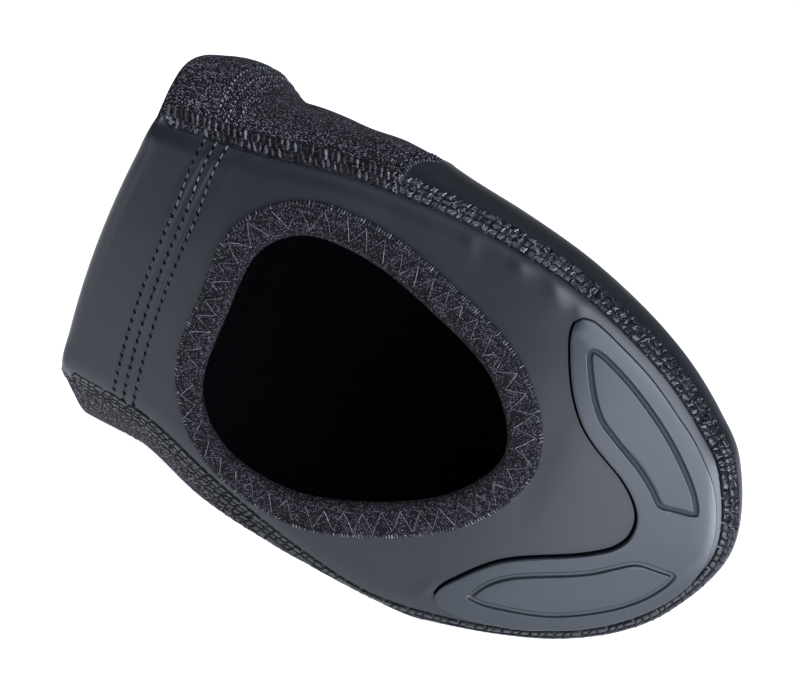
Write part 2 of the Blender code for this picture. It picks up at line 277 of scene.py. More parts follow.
def tread(xy):
    """Height of the sole panel's outer face: the rocker, rounded up towards the feather line."""
    depth = inset(xy)
    into_edge = np.clip(EDGE_RADIUS * np.sin(EDGE_TILT) - depth, 0, EDGE_STEEPEST * EDGE_RADIUS)
    crown = value(CROWN, "height", xy[..., 0]) * (1 - (1 - np.clip(depth / CROWN_REACH, 0, 1)) ** 2)
    return rocker(xy[..., 0]) + EDGE_RADIUS - np.sqrt(EDGE_RADIUS ** 2 - into_edge ** 2) - crown


def tread_normal(xy):
    """Outward, so downward, normal of the sole panel's outer face."""
    step = 0.05
    slopes = [(tread(xy + d) - tread(xy - d)) / (2 * step) for d in step * np.eye(2)]
    return unit(np.stack([slopes[0], slopes[1], -np.ones_like(slopes[0])], axis=-1))


def on_tread(xy, height=0.0):
    """Points of the sole's outer face, lifted off it by a height."""
    return joined(xy, tread(xy)) + tread_normal(xy) * np.asarray(height)[..., None]


print("tread at the toe tip:", round(float(tread(np.array([TOE_TIP]))[0]), 1), "mm up")

# %% [markdown]
# The upper stands on the feather line.  From there each rib swells out to its widest point and then
# arches over to the ridge, and the collar's edge leans to the toe as it rises.  Ribs could be drawn
# one by one and lofted; as a formula of two numbers, the arc along the seam and the climb over the
# foot, the face also gives every later seam and thread its place.  With no shoe in it the stretch
# cloth is slack: it stands out or falls in by a millimetre or two, on the lateral side in a hump and
# a hollow behind the coated panel, on the medial side as one low bulge over the seam.

# %% The upper's outer face
def wall_value(name, x, medial_share):
    lateral = value(SECTION, "lateral_" + name, x)
    medial = value(SECTION, "medial_" + name, x)
    return lateral + (medial - lateral) * medial_share


def upper_skin(arc, climb):
    """Outer face at an arc along the seam; climb is 0 at the seam, 1 at the widest, 2 at the ridge."""
    foot, out = SEAM.at(arc)
    x = foot[..., 0]
    medial_share = smoothstep((TIP_ARC - arc) / SIDE_CHANGE + 0.5)
    loose = value(SLACK, "lateral", x) * (1 - medial_share)
    swell = (wall_value("swell", x, medial_share) + loose)[..., None]
    start = rocker(x) + EDGE_RADIUS * (1 - np.cos(EDGE_TILT))
    rise = wall_value("widest", x, medial_share) - start
    steep = swell[..., 0] * np.tan(EDGE_TILT)

    t = np.clip(climb, 0, 1)
    bulge = value(SLACK, "medial", x) * medial_share * 4 * t * (1 - t)
    low = foot + (swell * (2 * t - t * t)[..., None] + bulge[..., None]) * out
    low_up = 2 * t * (1 - t) * steep + t * t * rise

    angle = np.clip(climb - 1, 0, 1) * np.pi / 2
    across = np.clip(np.cos(angle), 0, None) ** (2 / DOME_POWER)
    upwards = np.sin(angle) ** (2 / DOME_POWER)
    ridge_x = np.minimum(x, TOE_POLE)
    ridge = np.stack([ridge_x, value(SECTION, "ridge", ridge_x)], axis=-1)
    dome = ridge + across[..., None] * (foot + swell * out - ridge)
    dome_up = rise + (value(SECTION, "roof", dome[..., 0]) - start - rise) * upwards

    plan = np.where((climb < 1)[..., None], low, dome)
    up = np.where(climb < 1, low_up, dome_up)
    level = up / (value(SECTION, "roof", ridge_x) - start)
    lean = value(COLLAR, "lateral", level, "level") * (1 - medial_share)
    lean += value(COLLAR, "medial", level, "level") * medial_share
    plan[..., 0] += lean * np.clip(1 - x / COLLAR_REACH, 0, 1) ** COLLAR_FADE
    return joined(plan, start + up)


ridge_end = upper_skin(seam_arc(np.array([0.0]), 1), np.array([2.0]))[0]
print("collar ridge at", ridge_end.round(1), "mm")

# %% [markdown]
# The empty cover lies on its medial side, because only the sole shows in the photograph.  The CAD
# turned the last by a lean and a splay and set it on the floor; the same turn is applied here to
# every point, so that each finished piece keeps its object at the origin.

# %% Lay the last on its side
REST_LEAN, REST_SPLAY = np.radians(6.0), np.radians(3.5)
REST_REACH = 49.7
LAST_ORIGIN = np.array([-83.118, -34.922, REST_REACH])

down = unit(np.array([-np.tan(REST_SPLAY), 1.0, np.tan(REST_LEAN)]))
forward = unit(np.array([1.0, 0, 0]) - down[0] * down)
REST_AXES = np.stack([forward, np.cross(-down, forward), -down], axis=1)


def laid(points):
    """Points of the last in the frame, in metres, none of them under the floor."""
    world = (points @ REST_AXES + LAST_ORIGIN) * MM
    world[..., 2] = np.maximum(world[..., 2], 0)
    return world


def settle(front, back):
    """Flatten a wall where it lies on the floor; its inner face moves by the same amount."""
    sunk = np.clip(front @ down - REST_REACH, 0, None)[..., None] * down
    return front - sunk, back - sunk


toe = laid(np.array([[*TOE_TIP, 0.0]]))[0]

# %% [markdown]
# The sheets of the cover are grids of points.  A shell is two such grids, the outer and the inner
# face, walled along their open edges, so every cloth has its real thickness and is closed.  Solidify
# would give an even wall, but the collar's hem is twice as thick and its folded edge is round.

# %% Meshes from grids
def grid_quads(rows, columns, closed=False):
    index = np.arange(rows * columns).reshape(rows, columns)
    if closed:
        index = np.hstack([index, index[:, :1]])
    corners = (index[:-1, :-1], index[:-1, 1:], index[1:, 1:], index[1:, :-1])
    return np.stack(corners, axis=-1).reshape(-1, 4)


def rim_loops(rows, columns, closed=False):
    """Open edges of a grid, as pairs of point numbers in the grid faces' own direction."""
    index = np.arange(rows * columns).reshape(rows, columns)
    if closed:
        loops = [index[0], index[-1][::-1]]
    else:
        loops = [np.concatenate([index[0, :-1], index[:-1, -1], index[-1, :0:-1], index[:0:-1, 0]])]
    return np.vstack([np.stack([loop, np.roll(loop, -1)], axis=1) for loop in loops])


def shell(front, back, closed=False):
    """Points and faces of a closed wall between two grids; says how many faces are the outer ones."""
    rows, columns = front.shape[:2]
    count = rows * columns
    quads = grid_quads(rows, columns, closed)
    a, b = rim_loops(rows, columns, closed).T
    walls = np.stack([b, a, a + count, b + count], axis=1)
    points = np.vstack([front.reshape(-1, 3), back.reshape(-1, 3)])
    return points, np.vstack([quads, walls, quads[:, ::-1] + count]), len(quads) + len(walls)


flat = np.zeros((3, 4, 3))
print("a shell of two 3 by 4 grids has", len(shell(flat, flat)[1]), "faces")


# %% Pieces from shells
def volume(points, quads):
    a, b, c, d = points[quads].transpose(1, 0, 2)
    return ((a * np.cross(b, c)).sum() + (a * np.cross(c, d)).sum()) / 6


def put(name, data):
    """A new object in the scene for a mesh, a light or a camera."""
    thing = bpy.data.objects.new(name, data)
    bpy.context.scene.collection.objects.link(thing)
    return thing


def add_piece(name, points, quads, outer_count, skin, lining=None, sharp_deg=40):
    """A mesh object at the origin; faces after outer_count are the lined inside."""
    if volume(points, quads) < 0:
        quads = quads[:, ::-1]
    mesh = bpy.data.meshes.new(name)
    mesh.from_pydata(laid(points).tolist(), [], quads.tolist())
    mesh.materials.append(skin)
    if lining:
        mesh.materials.append(lining)
        which = (np.arange(len(quads)) >= outer_count).astype(np.int32)
        mesh.polygons.foreach_set("material_index", which)
    mesh.shade_smooth()
    mesh.set_sharp_from_angle(angle=np.radians(sharp_deg))
    print(f"{name}: {2 * len(quads)} triangles, {abs(volume(points, quads)) / 1000:.1f} cm3")
    return put(name, mesh)


def grid_normals(points, closed=False):
    """Normals of a grid of points, from its neighbours along rows and columns."""
    if closed:
        lap = np.concatenate([points[:, -1:], points, points[:, :1]], axis=1)
        across = np.gradient(lap, axis=1)[:, 1:-1]
    else:
        across = np.gradient(points, axis=1)
    return unit(np.cross(across, np.gradient(points, axis=0)))


flat = joined(np.stack(np.meshgrid(np.arange(3.0), np.arange(3.0)), axis=-1), np.zeros((3, 3)))
print("normal of a flat grid:", grid_normals(flat)[1, 1])

# %% [markdown]
# Materials come next, because every piece takes one as it is made.  One function adds a node with
# its settings and links, and a few more name what recurs: a sum, a blend of two colours, a stretched
# range, a noise and a bump.  Colours are written as sRGB hex codes and turned to linear light, and
# pattern scales are worked out from a real size in millimetres.

# %% Node and colour helpers
def feed(tree, node, inputs):
    """Fill a node's inputs with values or with other nodes' outputs."""
    for key, given in inputs.items():
        if isinstance(given, bpy.types.NodeSocket):
            tree.links.new(given, node.inputs[key])
        else:
            node.inputs[key].default_value = given


def add(tree, kind, inputs=None, **settings):
    """Add a node, set it up and feed it."""
    node = tree.nodes.new(kind)
    for name, setting in settings.items():
        setattr(node, name, setting)
    feed(tree, node, inputs or {})
    return node


def reckon(tree, operation, *numbers, **settings):
    """The result of one Math node."""
    node = add(tree, "ShaderNodeMath", dict(enumerate(numbers)), operation=operation, **settings)
    return node.outputs[0]


def linear(code):
    """An sRGB hex colour as linear red, green, blue and alpha."""
    shares = np.array([int(code[i:i + 2], 16) for i in (1, 3, 5)]) / 255
    light = np.where(shares <= 0.04045, shares / 12.92, ((shares + 0.055) / 1.055) ** 2.4)
    return (*light.tolist(), 1.0)


def per(size_mm):
    """Texture scale that gives features of that size on Object coordinates in metres."""
    return 1 / (size_mm * MM)


def fresh_material(name):
    material = bpy.data.materials.new(name)
    material.use_nodes = True
    return material, material.node_tree, material.node_tree.nodes["Principled BSDF"]


# Sockets of the Mix node in its colour form
MIX, FIRST, SECOND, MIXED = 0, 6, 7, 2


def blend(tree, share, first, second):
    """A mix of two colours, each a hex code or another node's output."""
    first, second = (linear(given) if isinstance(given, str) else given for given in (first, second))
    mix = add(tree, "ShaderNodeMix", {MIX: share, FIRST: first, SECOND: second}, data_type="RGBA")
    return mix.outputs[MIXED]


def spread(tree, given, low, high, to_low=0.0, to_high=1.0):
    """One range of numbers stretched onto another."""
    inputs = {"Value": given, "From Min": low, "From Max": high, "To Min": to_low, "To Max": to_high}
    return add(tree, "ShaderNodeMapRange", inputs).outputs["Result"]


def own_place(tree):
    return add(tree, "ShaderNodeTexCoord").outputs["Object"]


def noise(tree, size_mm, detail):
    """Soft noise on the piece's own place, with features of a size in mm."""
    inputs = {"Vector": own_place(tree), "Scale": per(size_mm), "Detail": detail}
    return add(tree, "ShaderNodeTexNoise", inputs).outputs[0]


def raised(tree, height, strength, depth_mm):
    """A bumped normal from a height."""
    bump = add(tree, "ShaderNodeBump", {"Height": height, "Strength": strength, "Distance": depth_mm * MM})
    return bump.outputs["Normal"]


print("slate grey in linear light:", [round(c, 3) for c in linear("#39414a")[:3]])

# %% [markdown]
# Polyurethane-coated stretch cloth: a knit with a thin film cast on it.  The film is smooth and
# satin, so it gives the eye broad soft highlights, a very fine grain, and slight cloudiness where the
# film is thinner.  One even gloss would look like plastic, so a slow noise moves tone and roughness.

# %% Coated cloth
FILM_GRAIN = 0.45
FILM_CLOUD = 16.0


def coated_cloth(name, deep, pale, roughness, ior=1.48):
    material, tree, shader = fresh_material(name)
    cloud = noise(tree, FILM_CLOUD, 4.0)
    gloss = spread(tree, cloud, 0.3, 0.7, roughness - 0.04, roughness + 0.05)
    grain = add(tree, "ShaderNodeTexVoronoi", {"Vector": own_place(tree), "Scale": per(FILM_GRAIN)},
                feature="SMOOTH_F1")
    feed(tree, shader, {"Base Color": blend(tree, cloud, deep, pale), "IOR": ior, "Roughness": gloss,
                        "Normal": raised(tree, grain.outputs["Distance"], 0.10, 0.06)})
    return material


sole_film = coated_cloth("coated_cloth_slate", "#171b20", "#1c2127", 0.32, 1.49)
vamp_film = coated_cloth("coated_cloth_dark", "#10141a", "#14191f", 0.38, 1.33)
# A paler copy of the same coated cloth: painted highlight for the pillows of the lateral seam
highlight_film = coated_cloth("coated_cloth_painted_highlight", "#2c2f34", "#3d4046", 0.24)
print("coated cloths:", sole_film.name, vamp_film.name, highlight_film.name)

# %% [markdown]
# The rear of the upper is a knit of dark and pale filaments, so it reads as salt and pepper.  Loops
# are under 0.5 mm and there are far too many to model, so each cell of a Voronoi pattern is one loop,
# some of them pale.  Courses run parallel to the collar, so the pattern follows the sheet's own UV
# map, where 1 is 100 mm.  The binding tape is a softer, brushed knit of the same yarn and needs no
# direction.

# %% Knit and tape
UV_PER_MM = 0.01
LOOP_WIDTH, LOOP_HEIGHT = 0.36, 0.42
COURSE = 2.6
PALE_SHARE = 0.45


def speckled(name, cells, dark, mid, pale, rib=None):
    """A knit whose loops are the cells of a Voronoi pattern, some of them pale."""
    material, tree, shader = fresh_material(name)
    loops = add(tree, "ShaderNodeTexVoronoi", {"Randomness": 0.6, "Scale": 1.0, "Vector": cells(tree)})
    lot = add(tree, "ShaderNodeSeparateColor", {"Color": loops.outputs["Color"]})
    picked = spread(tree, lot.outputs[0], PALE_SHARE - 0.15, 1.0)
    height = spread(tree, loops.outputs["Distance"], 0.55, 0.10)
    fleck = reckon(tree, "MULTIPLY", picked, height)
    yarn = blend(tree, fleck, blend(tree, height, dark, mid), pale)
    if rib:
        height = reckon(tree, "ADD", rib(tree), height)
    feed(tree, shader, {"Base Color": yarn, "Roughness": 0.75, "Specular IOR Level": 0.15,
                        "Normal": raised(tree, height, 0.7, 0.22)})
    return material


def loop_cells(tree):
    cloth = add(tree, "ShaderNodeUVMap", uv_map="cloth").outputs["UV"]
    scale = (1 / (LOOP_HEIGHT * UV_PER_MM), 1 / (LOOP_WIDTH * UV_PER_MM), 1.0)
    return add(tree, "ShaderNodeMapping", {"Vector": cloth, "Scale": scale}).outputs["Vector"]


def brushed_cells(tree):
    scale = (per(LOOP_WIDTH),) * 3
    return add(tree, "ShaderNodeMapping", {"Vector": own_place(tree), "Scale": scale}).outputs["Vector"]


def course_ribs(tree):
    cloth = add(tree, "ShaderNodeUVMap", uv_map="cloth").outputs["UV"]
    apart = add(tree, "ShaderNodeSeparateXYZ", {"Vector": cloth})
    turns = reckon(tree, "MULTIPLY", apart.outputs["X"], 2 * np.pi / (COURSE * UV_PER_MM))
    return reckon(tree, "MULTIPLY", reckon(tree, "SINE", turns), 0.22)


knit = speckled("salt_and_pepper_knit", loop_cells, "#050408", "#1b191f", "#c8c5d2", course_ribs)
tape = speckled("brushed_knit_tape", brushed_cells, "#060508", "#1d1b21", "#787580")
print("knits:", knit.name, tape.name)

# %% [markdown]
# The guard is thermoplastic polyurethane, moulded in a polished die: a paler blue grey, smooth and
# satin.  The die leaves the floor of its channels rough and dull, and their paler colour is painted
# light, so they stay pale where a polished groove would mirror the dark.  The dark line round the guard
# is painted shade: a black film sheet that shows at its edge.  The lining is a brushed black pile that
# gives almost no light back, as the cut-out in the photograph shows; its near-black colour also paints
# the shade inside the cover.  The last three need only a little nap, so one function makes them all.

# %% Guard, black film of painted shade, and lining
def moulded_guard():
    material, tree, shader = fresh_material("moulded_polyurethane")
    tone = blend(tree, noise(tree, 9.0, 2.0), "#24292f", "#292f35")
    feed(tree, shader, {"Base Color": tone, "Roughness": 0.24, "IOR": 1.5,
                        "Normal": raised(tree, noise(tree, 0.5, 2.0), 0.04, 0.05)})
    return material


def dark_pile(name, dark, pale, size, roughness):
    material, tree, shader = fresh_material(name)
    nap = noise(tree, size, 3.0)
    feed(tree, shader, {"Base Color": blend(tree, nap, dark, pale), "Roughness": roughness,
                        "Specular IOR Level": 0.0, "Normal": raised(tree, nap, 0.3, 0.2)})
    return material


guard_rubber = moulded_guard()
# Painted light: the channel floor's colour is set paler than the guard's; its rough, dull finish is real
channel_floor_painted = dark_pile("matt_channel_painted_light", "#3a3e45", "#41454c", 0.6, 0.6)
# Painted shade: a black film for the dark line round the guard
shade_line_film = dark_pile("black_film_painted_shade", "#030304", "#060608", 0.8, 0.6)
# Painted shade: the lining is a real black pile, made as dark as the shade inside the cover
lining = dark_pile("brushed_black_lining_and_shade", "#060607", "#0f0f12", 0.7, 1.0)
print("guard, film and lining:", guard_rubber.name, channel_floor_painted.name, shade_line_film.name, lining.name)

# %% [markdown]
# Sewing thread is bulked polyester: many fine filaments, dark with a soft sheen.  Each thread piece
# carries a shade of its own from 0, black, to 1, pale grey.  The light threads on the hem, the seam and
# the binding are the same dark yarn, so their paleness is painted sheen, the glint of its shiny side put
# into the colour.  One material reads that shade as an attribute, where a material for each shade would
# do the same work many times.

# %% Thread
def bulked_thread():
    material, tree, shader = fresh_material("bulked_polyester_thread")
    shade = add(tree, "ShaderNodeAttribute", attribute_name="shade").outputs["Fac"]
    strands = noise(tree, 0.35, 2.0)
    uneven = spread(tree, strands, 0.35, 0.65, 0.45, 1.35)
    light = reckon(tree, "MULTIPLY", shade, uneven, use_clamp=True)
    # Painted sheen: the shade attribute lightens the black yarn towards pale grey, as its glint
    feed(tree, shader, {"Base Color": blend(tree, light, "#020203", "#b9b7c0"), "Roughness": 0.5,
                        "Specular IOR Level": 0.06, "Normal": raised(tree, strands, 0.5, 0.1)})
    return material


thread = bulked_thread()
print("thread:", thread.name)

# %% [markdown]
# The rear of the upper is one sheet of knit from the medial seam over the ridge to the lateral seam.
# Its rear edge is folded in and sewn down as a hem, its front edge is cut along a curve that runs
# further forward on top of the foot.  Rows of the grid climb one side and go down the other, columns
# go from the collar to that curve.  A flat sheet could be draped on a foot as cloth, but then the sewn
# rows and the cut edge would lie where they fall; on a grid they lie where they are listed.

# %% Where the knit ends and the coated toe begins
TOE_PANEL = table(
    "climb lateral medial",
    (0.0, 61.0, 76.0),
    (0.6, 62.0, 77.0),
    (0.95, 65.2, 79.0),
    (1.15, 69.0, 81.0),
    (1.4, 77.0, 84.0),
    (1.7, 86.0, 88.0),
    (2.0, 90.0, 90.0),
)
HEM_PLY, PLY_STEP = 0.25, 1.2
ROW_DEPTH, ROW_HALF = 0.22, 0.7
HEM_ROWS = (15.5, 18.3, 21.1)


def panel_edge(climb, side):
    lateral = value(TOE_PANEL, "lateral", climb, "climb")
    medial = value(TOE_PANEL, "medial", climb, "climb")
    return np.where(np.asarray(side) > 0, medial, lateral)


def hem_relief(from_edge):
    """The folded ply stands a little proud, and each sewn row pulls a trough into it."""
    ply = HEM_PLY * smoothstep((HEM_WIDTH - from_edge) / PLY_STEP + 0.5)
    rows = sum(np.exp(-((from_edge - row) / ROW_HALF) ** 2) for row in HEM_ROWS)
    return ply - ROW_DEPTH * rows


def hem_wall(wall, x):
    """Wall thickness, doubled where the collar's edge is turned in."""
    return wall + HEM_EXTRA * smoothstep((HEM_WIDTH - x) / HEM_STEP + 0.5)


def round_off(distance, radius):
    """How far a face drops within one radius of a folded edge."""
    into = np.clip(radius - distance, 0, radius)
    return radius - np.sqrt(radius ** 2 - into ** 2)


print("knit ends", panel_edge(np.array([0.0, 2.0]), -1), "mm from the collar, at the seam and on the ridge")

# %% The knit sheet
KNIT_CLIMB = 60
FOLD_STEPS = (0, 0.02, 0.1, 0.25, 0.5, 0.85, 1.3, 1.9)
KNIT_COLUMNS = 110

climb_rows = np.concatenate([np.linspace(0, 2, KNIT_CLIMB), np.linspace(2, 0, KNIT_CLIMB)[1:]])
side_rows = np.where(np.arange(len(climb_rows)) < KNIT_CLIMB, 1, -1)
edge_x = panel_edge(climb_rows, side_rows)[:, None]
even = np.linspace(0, 1, KNIT_COLUMNS)[1:]
folded = np.tile(FOLD_STEPS, (len(climb_rows), 1))
station = np.hstack([folded, FOLD_STEPS[-1] + even * (edge_x - FOLD_STEPS[-1])])
climb_grid = np.repeat(climb_rows[:, None], station.shape[1], axis=1)
knit_skin = upper_skin(seam_arc(station, side_rows[:, None]), climb_grid)
knit_normal = grid_normals(knit_skin)
if (knit_normal[KNIT_CLIMB - 1, :, 2]).mean() < 0:
    knit_normal = -knit_normal
wall = hem_wall(UPPER_WALL, station)
fold = round_off(station, wall / 2)
front = knit_skin + knit_normal * (hem_relief(station) - fold)[..., None]
back = knit_skin + knit_normal * (fold - wall)[..., None]
upper_knit = add_piece("upper_knit", *shell(*settle(front, back)), knit, lining)

# %% [markdown]
# A knit's courses follow its own edges, not the room.  Unwrapping would guess a layout; here the map
# is known: one way is the distance from the collar, the other the girth from the medial seam.

# %% The knit's own map
girth = run_along(knit_skin)
cloth_uv = np.stack([station, girth], axis=-1).reshape(-1, 2) * UV_PER_MM
cloth_uv = np.vstack([cloth_uv, cloth_uv])
corners = np.empty(len(upper_knit.data.loops), np.int32)
upper_knit.data.loops.foreach_get("vertex_index", corners)
layer = upper_knit.data.uv_layers.new(name="cloth")
layer.data.foreach_set("uv", cloth_uv[corners].astype(np.float32).ravel())
print("knit girth at the collar:", round(float(girth[-1, 0])), "mm from seam to seam")

# %% [markdown]
# The front of the upper is the coated toe panel.  Its ribs stand along the feather line, fan round
# the toe and meet in one pole, where the doubled points are merged.  The panel lies on the knit, so
# its rear edge is a small rounded step.  On the lateral side it has two broad hollows, and a row of
# short ridges climbs from the seam where it gathers the film.  They could be sculpted, but a few
# numbers can be read, compared with the photograph and changed.

# %% Creases of the toe panel
TOE_HOLLOWS = table(
    "x    climb height half_width half_climb",
    (72, 0.50, -0.30, 2.6, 0.35),
    (104, 0.40, -0.25, 3.0, 0.35),
)
PUCKERS = np.arange(70.0, 108.0, 2.4)
PUCKER_HEIGHT = np.random.default_rng(3).uniform(0.10, 0.42, len(PUCKERS))
PUCKER_HALF = 0.8
# Climbs between which a pucker rises, and between which it dies away
PUCKER_RISE, PUCKER_FALL = (0.22, 0.14), (0.40, 0.34)


def toe_relief(arc, climb):
    """Height of the toe panel over its smooth skin, over arc and climb."""
    relief = np.zeros_like(climb)
    for x, at, height, half_width, half_climb in zip(*TOE_HOLLOWS.values()):
        beside = (arc - seam_arc(x, -1)) / half_width
        above = (climb - at) / half_climb
        relief += height * np.exp(-beside ** 2 - above ** 2)
    rise, fall = (smoothstep((climb - start) / width) for start, width in (PUCKER_RISE, PUCKER_FALL))
    for x, height in zip(PUCKERS, PUCKER_HEIGHT):
        relief += height * (rise * (1 - fall)) * np.exp(-((arc - seam_arc(x, -1)) / PUCKER_HALF) ** 2)
    return relief


print("toe panel puckers:", len(PUCKERS))

# %% The toe panel
VAMP_HOOPS, VAMP_FAN, VAMP_CLIMB = 140, 150, 64
VAMP_CROWDING = 0.35
PANEL_PLY, PANEL_EDGE = 0.35, 0.5

climb_rows = np.linspace(0, 2, VAMP_CLIMB)[:, None]
share = np.linspace(0, 1, VAMP_HOOPS)
share = share + VAMP_CROWDING * share * (share - 1)
hoops = {}
for side in (1, -1):
    start_x = panel_edge(climb_rows, side)
    hoops[side] = seam_arc(start_x + share * (TOE_POLE - start_x), side)
fan = np.linspace(seam_arc(TOE_POLE, 1), seam_arc(TOE_POLE, -1), VAMP_FAN + 2)[1:-1]
arc_grid = np.hstack([hoops[1], np.tile(fan, (VAMP_CLIMB, 1)), hoops[-1][:, ::-1]])
climb_grid = np.repeat(climb_rows, arc_grid.shape[1], axis=1)
vamp_skin = upper_skin(arc_grid, climb_grid)
vamp_normal = grid_normals(vamp_skin)
if vamp_normal[VAMP_CLIMB // 2, arc_grid.shape[1] // 2, 0] < 0:
    vamp_normal = -vamp_normal
ridge_normal = unit(vamp_normal[-2] + vamp_normal[-2, ::-1])
pole = slice(VAMP_HOOPS - 1, -VAMP_HOOPS + 1)
ridge_normal[pole] = unit(ridge_normal[pole].mean(axis=0))
vamp_normal[-1] = ridge_normal

edge_x = np.hstack([panel_edge(climb_rows, side) for side in (1, -1)])
foot_x = SEAM.at(arc_grid)[0][..., 0]
from_edge = np.where(arc_grid < TIP_ARC, foot_x - edge_x[:, :1], foot_x - edge_x[:, 1:])
lift = PANEL_PLY * smoothstep(from_edge / PANEL_EDGE) + toe_relief(arc_grid, climb_grid)
front = vamp_skin + vamp_normal * lift[..., None]
back = vamp_skin - vamp_normal * UPPER_WALL
upper_vamp = add_piece("upper_vamp", *shell(*settle(front, back)), vamp_film, lining)

# %% [markdown]
# The two halves of each sheet meet on the ridge with doubled points, and all ribs of the toe panel end
# in one.  Left so, they would be open seams in the mesh, so points that lie on each other are merged.

# %% Merge the ridges and the pole
DOUBLED = 0.002


def merge_doubles(piece, within_mm):
    """Join points that lie on each other, such as a pole where many ribs meet."""
    before = len(piece.data.vertices)
    work = bmesh.new()
    work.from_mesh(piece.data)
    bmesh.ops.remove_doubles(work, verts=work.verts, dist=within_mm * MM)
    bmesh.ops.dissolve_degenerate(work, edges=work.edges, dist=within_mm * MM / 10)
    work.to_mesh(piece.data)
    work.free()
    print(piece.name, "merged", before - len(piece.data.vertices), "doubled points")


merge_doubles(upper_vamp, DOUBLED)
merge_doubles(upper_knit, DOUBLED)

# %% [markdown]
# The sole panel runs from the feather line and the folded rear edge to the cut-out.  Its grid is a
# set of rings between those two outlines, closer together along the rounded edge.  The film is smooth,
# so the folds show as broad soft dimples.  Cloth simulation would put folds where it likes, so they are
# listed one by one, each with its place in plan, the way it runs, its two half lengths and its height.

# %% Folds of the sole panel
SOLE_FOLDS = table(
    "x     y     turn half_long half_wide height",
    (82.8, -36.6, 70, 3.8, 1.8, 0.22),
    (95.6, -36.8, 58, 2.8, 1.7, 0.24),
    (105.5, -35.6, 60, 4.4, 2.4, 0.40),
    (113.0, -33.0, 62, 3.2, 1.6, 0.22),
    (12.0, -25.0, 105, 9.0, 1.6, 0.08),
    (25.0, -27.0, 95, 10.0, 2.4, 0.18),
    (27.5, 8.0, 92, 22.0, 3.0, 0.20),
    (58.0, -33.0, 5, 14.0, 3.0, -0.18),
    (118.0, 8.0, 88, 14.0, 4.0, -0.20),
    (60.0, 44.0, 20, 18.0, 2.5, 0.22),
    (104.0, 47.5, 118, 4.0, 1.8, 0.30),
)
COLLAR_HALF = FEATHER["medial"][0]


def rear_edge(y):
    """The sole panel's folded rear edge, bowed to the back between the ends of the seam."""
    return -COLLAR_BOW * (1 - (y / COLLAR_HALF) ** 2)


def from_rear(xy):
    """Distance in front of the rear edge."""
    return xy[..., 0] - np.minimum(rear_edge(xy[..., 1]), 0)


def sole_relief(xy):
    """Height of the sole's outer face over the plain tread: the hem and the folds."""
    relief = hem_relief(from_rear(xy))
    for x, y, turn, half_long, half_wide, height in zip(*SOLE_FOLDS.values()):
        c, s = np.cos(np.radians(turn)), np.sin(np.radians(turn))
        apart = xy - (x, y)
        lengthwise = (apart @ (c, s)) / half_long
        sideways = (apart @ (-s, c)) / half_wide
        relief = relief + height * np.exp(-lengthwise ** 2 - sideways ** 2)
    return relief


print("sole folds:", len(SOLE_FOLDS["x"]))

# %% The sole panel's rings
CUTOUT = table(
    "x y",
    (34.7, 3.0), (36.0, 23.5), (46.0, 34.0), (64.0, 37.4), (86.0, 31.0),
    (103.0, 20.0), (109.4, 7.0), (100.0, -8.4), (79.0, -18.7), (60.0, -24.0),
    (45.0, -23.2), (36.6, -15.5),
)
HOLE = Outline(in_plan(CUTOUT), closed=True)
TAPE, GAP = 1.2, 0.3
CORNER_SKEW = 15.0
SEAM_POINTS, REAR_POINTS = 420, 140
EDGE_RINGS = (0, 0.03, 0.12, 0.3, 0.6, 1.0, 1.5, 2.1, 2.8, 3.6, 4.6, 5.7, 6.8)
PANEL_RINGS = 56

arcs = np.linspace(0, SEAM.length, SEAM_POINTS)
foot, out = SEAM.at(arcs)
skew = np.clip(1 - foot[:, :1] / CORNER_SKEW, 0, 1)
y = np.linspace(-COLLAR_HALF, COLLAR_HALF, REAR_POINTS + 2)[1:-1]
rear = np.stack([rear_edge(y), y], axis=1)
rear_skew = np.clip(1 - (COLLAR_HALF - abs(y)) / CORNER_SKEW, 0, 1)
rear_in = np.stack([np.ones_like(y), -np.sign(y) * rear_skew], axis=1)
start = SEAM_POINTS + REAR_POINTS // 2
rim = np.roll(np.vstack([foot, rear]), -start, axis=0)
inwards = np.roll(np.vstack([-out + skew * (1.0, 0.0), rear_in]), -start, axis=0)
steps = np.linalg.norm(np.diff(np.vstack([rim, rim[:1]]), axis=0), axis=1)
lap = np.concatenate([[0], np.cumsum(steps)])[:-1] / steps.sum()
edge, edge_out = HOLE.at(lap * HOLE.length)
edge = edge + edge_out * (TAPE + GAP)
rings = [rim + inwards * step for step in EDGE_RINGS]
for share in np.linspace(0, 1, PANEL_RINGS + 1)[1:]:
    rings.append(rings[len(EDGE_RINGS) - 1] * (1 - share) + edge * share)
sole_plan = np.array(rings)
print("sole rings:", sole_plan.shape[:2])

# %% The sole panel
# Its rear edge rolls inwards a little, but not at the two ends that the seam holds
ROLL_DROP, ROLL_WIDTH = 1.1, 3.6
HELD, FREE = 2.0, 9.0

normals = tread_normal(sole_plan)
wall = hem_wall(SOLE_WALL, sole_plan[..., 0])
fold = round_off(from_rear(sole_plan), wall / 2)
lift = sole_relief(sole_plan) - fold
roll = ROLL_DROP * (1 - smoothstep(from_rear(sole_plan) / ROLL_WIDTH))
roll = roll * smoothstep((inset(sole_plan) - HELD) / FREE)
skin = joined(sole_plan, tread(sole_plan)) - normals * roll[..., None]
front = skin + normals * lift[..., None]
back = skin + normals * (fold - wall)[..., None]
sole = add_piece("sole_cloth", *shell(*settle(front, back), closed=True), sole_film, lining)

# %% [markdown]
# The cut-out is bound with a folded tape: one leg on the outer face, the fold round the raw edge,
# the other leg inside.  A bevelled curve would carry one fixed section round the hole, but sewing
# pulls the tape down along the middle and its edge is never quite even.  So the section is drawn once
# as points, carried round the outline and waved a little.  On the medial rear side more of the tape is
# turned inside, and less of it shows.

